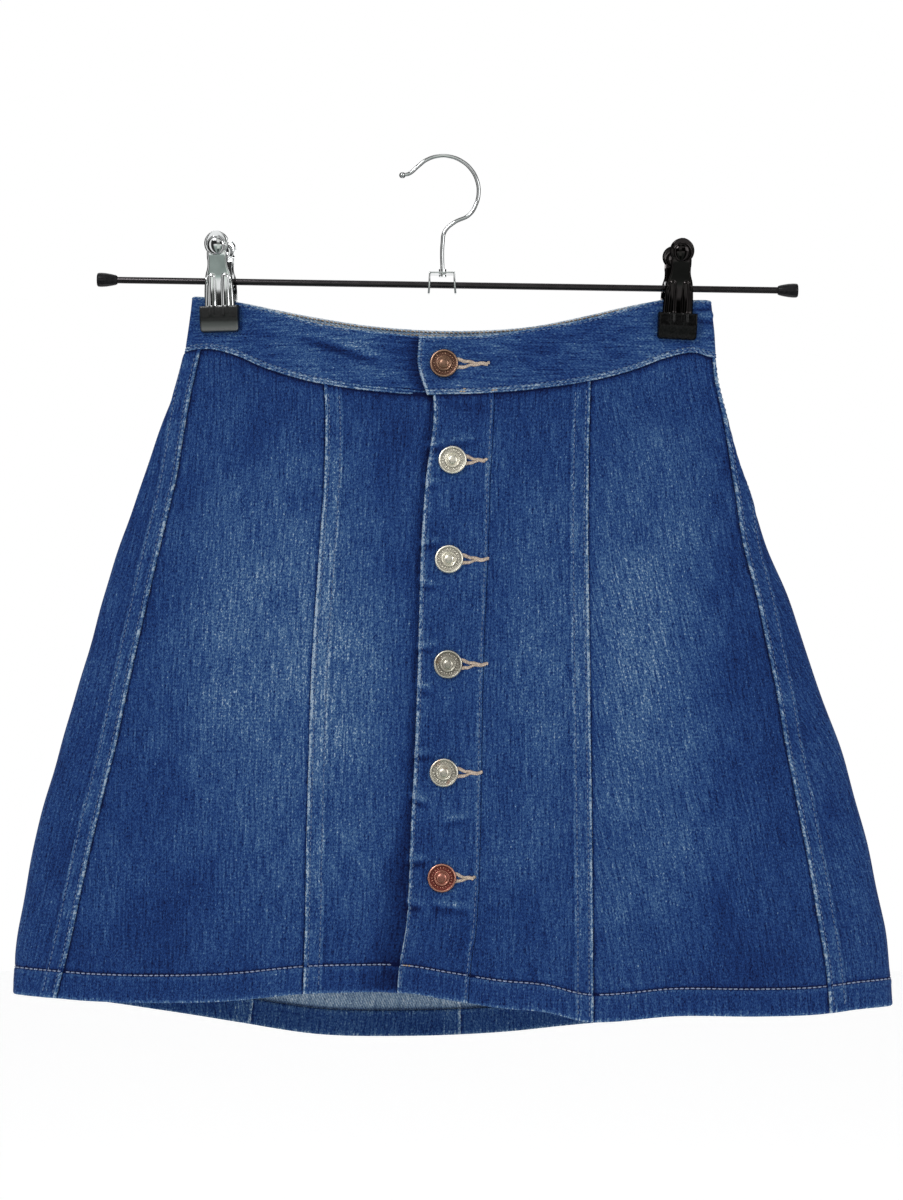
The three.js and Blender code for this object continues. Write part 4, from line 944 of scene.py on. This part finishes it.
def pressed_cap(name):
    """A button's cap, with its marks and its tarnish, face up and its middle at the origin."""
    blank = {"vertices": 48, "radius": BUTTON_RADIUS, "depth": CAP_DEPTH}
    cap = start(bpy.ops.mesh.primitive_cylinder_add, name, **blank)
    pick_faces(cap, lambda centre, normal: normal.z > 0.9)
    for inward, rise in BUTTON_STEPS:
        bpy.ops.mesh.inset(thickness=inward / 1000, depth=rise / 1000)
    pick_faces(cap, lambda centre, normal: normal.z < -0.9 and abs(centre.z + CAP_DEPTH / 2) < 0.0001)
    bpy.ops.mesh.inset(thickness=0.0007, depth=-0.0004)
    bpy.ops.object.mode_set(mode="OBJECT")
    round_edges(cap, 0.00012, 2)
    apply_modifiers(cap)
    marks = []
    for k in range(MARKS):
        angle = 2 * np.pi * k / MARKS
        mark = start(bpy.ops.mesh.primitive_uv_sphere_add, "mark", segments=8, ring_count=5, radius=1)
        mark.location = (MARK_RADIUS * np.cos(angle), MARK_RADIUS * np.sin(angle), 0.0010)
        mark.rotation_euler.z = angle
        mark.scale = (MARK_LENGTHS[k % 3], 0.0004, 0.00045)
        marks.append(mark)
    cap = join(cap, *marks)
    bpy.ops.object.transform_apply()
    spots = np.array([vertex.co for vertex in cap.data.vertices])
    reach = np.hypot(spots[:, 0], spots[:, 1])
    in_rings = (reach > 0.0043) & (reach < 0.0073) | (reach > DOME_EDGE) & (reach < 0.0036)
    hollow = in_rings & (spots[:, 2] < HOLLOW_TOP)
    layer = cap.data.attributes.new("tarnish", "FLOAT", "POINT")
    depths = np.where(hollow, 1, np.where(reach < DOME_EDGE, 0.55, 0))
    layer.data.foreach_set("value", depths.astype(np.float32))
    return cap


def shank_button(number, x, z, cover, base, material):
    cap = pressed_cap(f"shank_button_{number}")
    cap.data.transform(Matrix.Translation((0, 0, cover + BUTTON_SEAT + CAP_DEPTH / 2)))
    back = base - BUTTON_SEAT
    depth = cover - back + 0.001
    neck = start(bpy.ops.mesh.primitive_cylinder_add, "neck", vertices=24, radius=NECK_RADIUS, depth=depth)
    place_mesh(neck, Matrix.Translation((0, 0, (cover + back) / 2)))
    rivet = start(bpy.ops.mesh.primitive_cylinder_add, "rivet", radius=RIVET_RADIUS, depth=RIVET_DEPTH)
    pick_faces(rivet, lambda centre, normal: normal.z < -0.9)
    bpy.ops.mesh.inset(thickness=0.0012, depth=0.0)
    bpy.ops.mesh.inset(thickness=0.0008, depth=-0.0004)
    bpy.ops.object.mode_set(mode="OBJECT")
    place_mesh(rivet, Matrix.Translation((0, 0, back - RIVET_DEPTH / 2)))
    piece = join(cap, neck, rivet)
    spot, right, up, out = button_frame(x, z)
    frame_at = Matrix((right, up, out)).transposed().to_4x4()
    frame_at.translation = Vector(spot)
    piece.data.transform(frame_at)
    settle(piece, material, [f"button_{number}"], angle=50)


# Each button's copper, brightness and darkness in the hollows, then its warm and its hollow colour.
METALS = [
    (0.85, 0.84, 0.85, (205, 164, 138), (80, 50, 44)),
    (0.22, 1.14, 0.45, (188, 116, 92), (58, 38, 32)),
    (0.24, 1.14, 0.50, (188, 116, 92), (58, 38, 32)),
    (0.32, 0.95, 0.55, (188, 150, 110), (58, 38, 32)),
    (0.34, 1.05, 0.45, (188, 130, 100), (58, 38, 32)),
    (0.95, 0.95, 0.85, (214, 154, 134), (108, 34, 36)),
]
for number, ((x, z), plating) in enumerate(zip(BUTTONS, METALS), start=1):
    cover, base = (BAND[0], BAND_UNDER[1]) if number == 1 else (PLACKET[0], -STAND_UNDER - DENIM)
    shank_button(number, x, z, cover, base, button_metal(f"button_metal_{number}", *plating))


# The hanger's rod: a straight bar of dark polished steel, with a ribbed rubber cap pushed over each end. It
# hangs a little lower on the right.
ROD_RADIUS, ROD_HEIGHT, ROD_TILT = 0.002, -0.0776, np.radians(0.9)
ROD_LEFT, ROD_RIGHT = -0.205, 0.2104
rod_frame = Matrix.Translation((0, 0, ROD_HEIGHT)) @ Matrix.Rotation(ROD_TILT, 4, "Y")
along_rod = Matrix.Rotation(np.pi / 2, 4, "Y")


def metal(name, color, roughness, scratches=0.06):
    """Polished metal with faint smudges."""
    material, nodes, shader = new_material(name)
    smudges = noise(object_place(nodes), (120, 120, 120), 4.0)
    rough = calc("MULTIPLY_ADD", smudges, scratches * 2, max(0.0, roughness - scratches))
    darker = [0.8 * channel for channel in color]
    fill(shader, Base_Color=ramp(smudges, [(0.35, darker), (0.65, color)]), Roughness=rough, Metallic=1.0)
    return material


def gloss(name, color, roughness, grain=0.3, ior=1.45, mirror=0.5, worn=()):
    """Smooth rubber. The steps of worn say how much its face mirrors, from a pad's top to its foot."""
    material, nodes, shader = new_material(name)
    place = object_place(nodes)
    texture = noise(place, (700, 700, 700), 3.0)
    paler = [channel * 1.6 + 0.004 for channel in color]
    bump = put(nodes, "ShaderNodeBump", Height=texture, Distance=0.0001, Strength=grain).outputs[0]
    if worn:
        height = put(nodes, "ShaderNodeSeparateXYZ", i0=place).outputs["Z"]
        down = put(nodes, "ShaderNodeMapRange", Value=height, From_Min=PAD_SPAN[0], From_Max=PAD_SPAN[1])
        mirror = ramp(down.outputs[0], worn)
    fill(shader, Base_Color=ramp(texture, [(0.4, color), (0.7, paler)]), Normal=bump, Roughness=roughness)
    fill(shader, IOR=ior, Specular_IOR_Level=mirror)
    return material


PAD_SPAN = (-0.0912, -0.1069)
PAD_WEAR = [(0.0, 0.2), (0.3, 0.12), (0.58, 0.15), (0.68, 0.55), (0.92, 1.0), (0.98, 0.5)]
bright_chrome = metal("bright_chrome", (0.80, 0.82, 0.82), 0.07)
dark_chrome = metal("dark_chrome", (0.030, 0.027, 0.027), 0.05, 0.03)
rod_steel = metal("rod_steel", (0.060, 0.055, 0.058), 0.26)
black_rubber = gloss("black_rubber", (0.004, 0.004, 0.005), 0.36, mirror=0.3)
worn_pad = gloss("worn_pad", (0.003, 0.0035, 0.0035), 0.3, 0.03, ior=2.1, worn=PAD_WEAR)
black_pad = gloss("black_pad", (0.002, 0.002, 0.002), 0.2, 0.03, mirror=0.15)

rod_length = ROD_RIGHT - ROD_LEFT
bar = {"vertices": 40, "radius": ROD_RADIUS, "depth": rod_length}
rod = start(bpy.ops.mesh.primitive_cylinder_add, "hanger_rod", **bar)
round_edges(rod, 0.0004, 3)
place_mesh(rod, rod_frame @ Matrix.Translation(((ROD_LEFT + ROD_RIGHT) / 2, 0, 0)) @ along_rod)
settle(rod, rod_steel, ["rod"])

CAP_WIDE, CAP_NARROW, CAP_PAST = 0.00435, 0.003, 0.0038
CAP_STEPS = ((0.0003, CAP_WIDE - 0.0003), (0.0006, CAP_WIDE), (0.0041, CAP_WIDE), (0.0070, CAP_NARROW))
CAP_RIB, CAP_RIBS = 0.00018, 12
for side, end, facing in (("left", ROD_LEFT - CAP_PAST, 1), ("right", ROD_RIGHT + CAP_PAST, -1)):
    foot = CAP_WIDE - 0.0009
    cap = start(bpy.ops.mesh.primitive_cylinder_add, f"{side}_cap", vertices=48, radius=foot, depth=0.0001)
    pick_faces(cap, lambda centre, normal: normal.z > 0.9)
    for rise, radius in CAP_STEPS:
        bpy.ops.mesh.extrude_region_move(TRANSFORM_OT_translate={"value": (0, 0, rise)})
        corner = next(vertex for vertex in bmesh.from_edit_mesh(cap.data).verts if vertex.select)
        wide = np.hypot(corner.co.x, corner.co.y)
        bpy.ops.transform.resize(value=(radius / wide, radius / wide, 1))
    bpy.ops.mesh.inset(thickness=0.0006, depth=0.0003)
    bpy.ops.object.mode_set(mode="OBJECT")
    for vertex in cap.data.vertices:
        wide = np.hypot(vertex.co.x, vertex.co.y)
        if wide > CAP_NARROW - 0.0001:
            ribs = 0.5 + 0.5 * np.cos(CAP_RIBS * np.arctan2(vertex.co.y, vertex.co.x))
            shrink = 1 - CAP_RIB / wide * ribs
            vertex.co.x, vertex.co.y = vertex.co.x * shrink, vertex.co.y * shrink
    outwards = Matrix.Rotation(facing * np.pi / 2, 4, "Y")
    place_mesh(cap, rod_frame @ Matrix.Translation((end, 0, 0)) @ outwards)
    rounding = cap.modifiers.new("round", "SUBSURF")
    rounding.levels = rounding.render_levels = 1
    settle(cap, black_rubber, [f"rod_cap_{side}"])

# The hook: chromed wire bent in a round, with a ball on its tip. It turns in a bent bracket that the rod goes
# through, held by a collar above the bracket's plate and a rivet under it.
WIRE_RADIUS, HOOK_RADIUS = 0.00125, 0.0215
PLATE_TOP, PLATE = -0.070, 0.0012
STEM_X = -0.0003
hook_centre = -(HOOK_RADIUS - WIRE_RADIUS)
route = [(-0.0246, -0.0106), (-0.0205, -0.0096), (-0.0150, -0.0050)]
for degrees in range(118, -43, -20):
    angle = np.radians(degrees)
    route.append((HOOK_RADIUS * np.cos(angle), hook_centre + HOOK_RADIUS * np.sin(angle)))
route += [(0.0065, -0.0396), (0.0010, -0.0450), (STEM_X, -0.0520), (STEM_X, PLATE_TOP - PLATE - 0.001)]
hook = start(bpy.ops.curve.primitive_bezier_curve_add, "hanger_hook")
spline = hook.data.splines[0]
spline.bezier_points.add(len(route) - 2)
for point, (x, z) in zip(spline.bezier_points, route):
    point.co = (x, 0, z)
    point.handle_left_type = point.handle_right_type = "AUTO"
hook.data.bevel_depth = WIRE_RADIUS
hook.data.bevel_resolution = 6
hook.data.resolution_u = 16
hook.data.use_fill_caps = True
bpy.ops.object.convert(target="MESH")
fittings = [("collar", 0.0016, PLATE_TOP + 0.0011), ("rivet", 0.0012, PLATE_TOP - PLATE - 0.0009)]
tip = (route[0][0], 0, route[0][1])
round_tip = {"segments": 24, "ring_count": 16, "radius": 0.002, "location": tip}
pieces = [start(bpy.ops.mesh.primitive_uv_sphere_add, "ball", **round_tip)]
for name, depth, z in fittings:
    size = {"radius": 0.0023, "depth": depth, "location": (STEM_X, 0, z)}
    pieces.append(start(bpy.ops.mesh.primitive_cylinder_add, name, **size))
hook = join(hook, *pieces)
settle(hook, bright_chrome, ["hook"], angle=50)

BRACKET_LEFT, BRACKET_RIGHT, BRACKET_FOOT, BRACKET_DEPTH = -0.0086, 0.0074, -0.083, 0.011
bracket = start(bpy.ops.mesh.primitive_plane_add, "hook_plate", size=1)
bracket.scale = (BRACKET_RIGHT - BRACKET_LEFT - PLATE, BRACKET_DEPTH, 1)
bracket.location = ((BRACKET_LEFT + BRACKET_RIGHT) / 2, 0, PLATE_TOP - PLATE / 2)
bpy.ops.object.transform_apply()
for side in (-1, 1):
    bpy.ops.object.mode_set(mode="EDIT")
    bpy.ops.mesh.select_mode(type="EDGE")
    bpy.ops.mesh.select_all(action="DESELECT")
    edges = bmesh.from_edit_mesh(bracket.data).edges
    rim = max(edges, key=lambda edge: side * (edge.verts[0].co.x + edge.verts[1].co.x) + edge.verts[0].co.z)
    rim.select_set(True)
    bmesh.update_edit_mesh(bracket.data)
    drop = (PLATE_TOP - PLATE / 2 - BRACKET_FOOT) / 3
    for step, narrow in ((0.0001, 1.0), (0.0002, 0.9), (0.0004, 0.55)):
        bpy.ops.mesh.extrude_region_move(TRANSFORM_OT_translate={"value": (side * step, 0, -drop)})
        bpy.ops.transform.resize(value=(1, narrow, 1))
    bpy.ops.object.mode_set(mode="OBJECT")
thick = bracket.modifiers.new("thick", "SOLIDIFY")
thick.thickness, thick.offset = PLATE, 0
round_edges(bracket, 0.00052, 4)
settle(bracket, bright_chrome, ["hook_bracket"])

# The clips: two pressed steel jaws each, which pivot on the rod against a wound spring and bite the waistband
# between rubber pads. A jaw has a round thumb plate with a dome, a neck, and two flutes down its body.
JAW = table(
    "z half out",
    (14, 6.2, 13.4), (8, 6.5, 11.2), (3.4, 7.9, 9.6), (0.5, 8.4, 8.9),
    (-5, 8.9, 8), (-10, 9.1, 7.4), (-15.4, 9.3, 6.9), (-23.4, 9.3, 6.7),
)
JAW_TOP, JAW_FOOT, JAW_WALL = 0.0284, -0.0200, 0.0009
THUMB_HEIGHT, THUMB_RADIUS, THUMB_FOOT, THUMB_LEAN = 0.021, 0.0075, 0.014, 0.16
DOME_HEIGHT, DOME_RADIUS, DOME_RISE = 0.0198, 0.0053, 0.0021
FLUTE_X, FLUTE_RADIUS, FLUTE_TOP, FLUTE_FOOT, FLUTE_RISE = 0.0041, 0.0021, 0.0012, -0.0170, 0.0009
CURL_FROM, CURL_BODY, CURL_THUMB = 0.74, 0.0019, 0.0012
EAR_RADIUS, EAR_DEPTH, EAR_REACH = 0.004, 0.0011, 0.0052
PAD_HALF, PAD_TOP, PAD_FOOT, PAD_INNER, PAD_OUTER = 0.0118, -0.0157, -0.0314, 0.00315, 0.0087
PAD_CORNER, PAD_EDGE = 0.002, 0.0009
CLIP_YAW = np.radians(5.8)
CLIPS = {
    "left": (-0.1342, -CLIP_YAW, np.radians(-0.9), bright_chrome, "bright_chrome"),
    "right": (0.1413, CLIP_YAW, np.radians(2.2), dark_chrome, "dark_chrome"),
}


def jaw(name, ear_place):
    plate = start(bpy.ops.mesh.primitive_grid_add, name, x_subdivisions=34, y_subdivisions=90, size=2)
    for vertex in plate.data.vertices:
        across, z = vertex.co.x, JAW_FOOT + (JAW_TOP - JAW_FOOT) * (vertex.co.y + 1) / 2
        half, out = (float(value[0]) for value in along(JAW, "z", "half out", np.array([z])))
        if z > THUMB_FOOT:
            out += (z - THUMB_FOOT) * THUMB_LEAN
            disc = np.sqrt(max(THUMB_RADIUS**2 - (z - THUMB_HEIGHT) ** 2, 1e-7))
            half = max(disc, half * min(1, max(0, (0.019 - z) / 0.003)))
        x = across * half
        dome = DOME_RISE * np.sqrt(max(0, 1 - (np.hypot(x, z - DOME_HEIGHT) / DOME_RADIUS) ** 2))
        past = max(0, z - FLUTE_TOP, FLUTE_FOOT - z)
        off = np.hypot(abs(x) - FLUTE_X, past) / FLUTE_RADIUS
        flute = FLUTE_RISE * np.sqrt(max(0, 1 - off**2))
        edge = max(0, abs(across) - CURL_FROM) / (1 - CURL_FROM)
        curl = (CURL_BODY if z < 0.012 else CURL_THUMB) * (1 - np.sqrt(1 - edge**2))
        vertex.co = (x, -(out + dome + flute - curl), z)
    wall = plate.modifiers.new("wall", "SOLIDIFY")
    wall.thickness, wall.offset = JAW_WALL, -1
    apply_modifiers(plate)
    turn_outwards()
    pieces = [plate]
    for hand in (-1, 1):
        ear = start(bpy.ops.mesh.primitive_cylinder_add, "ear", radius=EAR_RADIUS, depth=EAR_DEPTH)
        pick_faces(ear, lambda centre, normal: abs(normal.z) < 0.5 and normal.x < -0.6)
        bpy.ops.mesh.extrude_region_move(TRANSFORM_OT_translate={"value": (-EAR_REACH, 0, 0)})
        bpy.ops.object.mode_set(mode="OBJECT")
        upright = Matrix.Rotation(np.pi / 2, 4, "Y") @ Matrix.Rotation(np.pi / 2, 4, "Z")
        place_mesh(ear, Matrix.Translation((hand * ear_place, 0, 0)) @ upright)
        round_edges(ear, 0.0002, 2)
        apply_modifiers(ear)
        pieces.append(ear)
    return join(*pieces)


def grip_pad(name):
    pad = start(bpy.ops.mesh.primitive_grid_add, name, x_subdivisions=48, y_subdivisions=34, size=2)
    for vertex in pad.data.vertices:
        x, z = vertex.co.x * PAD_HALF, PAD_FOOT + (PAD_TOP - PAD_FOOT) * (vertex.co.y + 1) / 2
        corner_x, corner_z = abs(x) - PAD_HALF + PAD_CORNER, PAD_FOOT + PAD_CORNER - z
        if corner_x > 0 and corner_z > 0:
            pull = max(corner_x, corner_z) / np.hypot(corner_x, corner_z)
            x = np.sign(x) * (PAD_HALF - PAD_CORNER + corner_x * pull)
            z = PAD_FOOT + PAD_CORNER - corner_z * pull
        inwards = min((1 - abs(vertex.co.x)) * PAD_HALF, (1 - abs(vertex.co.y)) * 0.0078)
        rounding = PAD_EDGE * (1 - np.sqrt(1 - (1 - min(1, inwards / PAD_EDGE)) ** 2))
        lean = 0.0016 * smooth((PAD_TOP - 0.0065 - z) / 0.009)
        rib = np.hypot(abs(x) - FLUTE_X, max(0, PAD_TOP - 0.0050 - z)) / 0.0017
        vertex.co = (x, -(PAD_OUTER - rounding - lean + 0.0005 * np.sqrt(max(0, 1 - rib**2))), z)
    bpy.ops.object.mode_set(mode="EDIT")
    bpy.ops.mesh.select_all(action="SELECT")
    bpy.ops.mesh.extrude_region_move(TRANSFORM_OT_translate={"value": (0, 0.003, 0)})
    bpy.ops.object.mode_set(mode="OBJECT")
    for vertex in pad.data.vertices:
        if vertex.select:
            vertex.co.y = -PAD_INNER
    turn_outwards()
    return pad


COIL_RADIUS, COIL_WIRE, COIL_LEFT = 0.0029, 0.0006, -0.0045
for side, (x, yaw, lean, finish, finish_slot) in CLIPS.items():
    clip_place = Matrix.Translation((x * np.cos(ROD_TILT), 0, ROD_HEIGHT - x * np.sin(ROD_TILT)))
    clip_frame = clip_place @ Matrix.Rotation(lean, 4, "Y") @ Matrix.Rotation(yaw, 4, "Z")
    for jaw_side, ear_place, turned in (("front", 0.0072, 0), ("back", 0.0058, np.pi)):
        jaw_frame = clip_frame @ Matrix.Rotation(turned, 4, "Z")
        piece = jaw(f"{side}_clip_{jaw_side}", ear_place)
        place_mesh(piece, jaw_frame)
        settle(piece, finish, [f"{side}_jaw_{jaw_side}"], angle=50)
        pad = grip_pad(f"{side}_grip_{jaw_side}")
        place_mesh(pad, jaw_frame)
        settle(pad, worn_pad if side == "left" else black_pad, [f"{side}_pad_{jaw_side}"])
    coil = start(bpy.ops.mesh.primitive_circle_add, f"{side}_coil", vertices=10, radius=COIL_WIRE)
    coil.location, coil.rotation_euler.x = (COIL_LEFT, 0, COIL_RADIUS), np.pi / 2
    bpy.ops.object.transform_apply()
    wound = coil.modifiers.new("wound", "SCREW")
    wound.axis, wound.iterations, wound.screw_offset = "X", 6, 0.0015
    wound.steps = wound.render_steps = 24
    apply_modifiers(coil)
    bpy.ops.object.mode_set(mode="EDIT")
    bpy.ops.mesh.select_all(action="SELECT")
    bpy.ops.mesh.remove_doubles(threshold=0.00001)
    bpy.ops.mesh.fill_holes(sides=12)
    turn_outwards()
    place_mesh(coil, clip_place @ Matrix.Rotation(ROD_TILT, 4, "Y"))
    settle(coil, dark_chrome, [f"{side}_spring"], angle=60)

# The floor is plain and pale, far under the hanging skirt. Two large soft lights stand in front of it, to the
# left and the right, in a white room. Polished metal mirrors a dark studio with a few white panels.
bpy.ops.mesh.primitive_circle_add(vertices=96, radius=9, fill_type="NGON", location=(0, 0, -0.95))
floor = bpy.context.object
floor.name = "floor"
bpy.ops.object.transform_apply(location=True)
floor_paint, _, floor_shader = new_material("floor_paint")
fill(floor_shader, Base_Color=(0.93, 0.93, 0.93, 1), Roughness=0.7)
fill(floor_shader, Emission_Color=(1, 1, 1, 1), Emission_Strength=0.27)
floor.data.materials.append(floor_paint)
floor.visible_glossy = False
LIT_SPOT = (0, 0, -0.3)


def soft_light(name, place, size, power):
    bpy.ops.object.light_add(type="AREA", location=place)
    light = bpy.context.object
    light.name = name
    light.data.shape, light.data.size, light.data.energy = "SQUARE", size, power
    light.rotation_euler = (Vector(LIT_SPOT) - Vector(place)).to_track_quat("-Z", "Y").to_euler()


soft_light("key_light", (-1.3, -2.3, 1.5), 0.9, 34)
soft_light("fill_light", (1.9, -1.9, 0.5), 1.2, 12)
world = bpy.data.worlds.new("room")
bpy.context.scene.world = world
world.use_nodes = True
room = world.node_tree.nodes
way = put(room, "ShaderNodeSeparateXYZ", i0=put(room, "ShaderNodeTexCoord").outputs["Generated"]).outputs
WALLS = [(0.1, (0.14, 0.14, 0.15)), (0.55, 1.0)]
walls = put(room, "ShaderNodeBackground", i0=ramp(calc("MULTIPLY_ADD", way["Y"], 0.5, 0.5), WALLS))
round_it = calc("ARCTAN2", way["X"], calc("MULTIPLY", way["Y"], -1))
turned = calc("MULTIPLY_ADD", round_it, 0.5 / np.pi, 0.5)
# What the metal mirrors, by the turn round the room: its walls, and where the clips' and the buttons' own
# panels stand in front of them. The heights go from the floor, 0, to the ceiling, 1.
SIDES = [
    (0.07, 1.0), (0.12, 0.03), (0.31, 0.03), (0.325, 1.0), (0.365, 1.0), (0.38, 0.03),
    (0.43, 0.03), (0.57, 0.03), (0.60, 0.03), (0.61, 0.9), (0.65, 0.9), (0.66, 0.03),
    (0.70, 0.03), (0.715, 0.9), (0.73, 0.04), (0.90, 0.03), (0.95, 1.0),
]
CLIP_PART = [(0.42, 0.0), (0.44, 1.0), (0.56, 1.0), (0.58, 0.0)]
CLIP_HEIGHTS = [
    (0.20, (0.26, 0.31, 0.29)), (0.31, (0.33, 0.38, 0.36)), (0.37, (0.5, 0.6, 0.56)),
    (0.41, 1.0), (0.445, 1.0), (0.465, 0.02), (0.60, 0.02), (0.66, 0.8), (0.73, 0.8),
    (0.77, 0.04), (0.90, 0.04), (0.94, 0.9),
]
BUTTON_PART = [(0.47, 0.0), (0.482, 1.0), (0.518, 1.0), (0.53, 0.0)]
BUTTON_HEIGHTS = [
    (0.22, (0.05, 0.06, 0.06)), (0.28, (0.78, 0.84, 0.78)), (0.42, (0.78, 0.84, 0.78)),
    (0.46, (0.2, 0.21, 0.2)), (0.53, (0.2, 0.21, 0.2)), (0.56, 0.95), (0.75, (0.7, 0.7, 0.66)),
    (0.82, (0.26, 0.30, 0.29)), (0.90, (0.3, 0.34, 0.33)), (0.94, 0.9),
]
sides = ramp(turned, SIDES)
height = calc("MULTIPLY_ADD", way["Z"], 0.5, 0.5)
for part, heights in ((CLIP_PART, CLIP_HEIGHTS), (BUTTON_PART, BUTTON_HEIGHTS)):
    share, panels = ramp(turned, part), ramp(height, heights)
    sides = put(room, "ShaderNodeMix", data_type="RGBA", i0=share, i6=sides, i7=panels).outputs[2]
mirrored = put(room, "ShaderNodeBackground", i0=sides).outputs[0]
rays = put(room, "ShaderNodeLightPath").outputs
lit = put(room, "ShaderNodeMixShader", i0=rays["Is Glossy Ray"], i1=walls.outputs[0], i2=mirrored).outputs[0]
seen = put(room, "ShaderNodeBackground", i0=(1, 1, 1, 1)).outputs[0]
mixed = put(room, "ShaderNodeMixShader", i0=rays["Is Camera Ray"], i1=lit, i2=seen).outputs[0]
fill(room["World Output"], Surface=mixed)
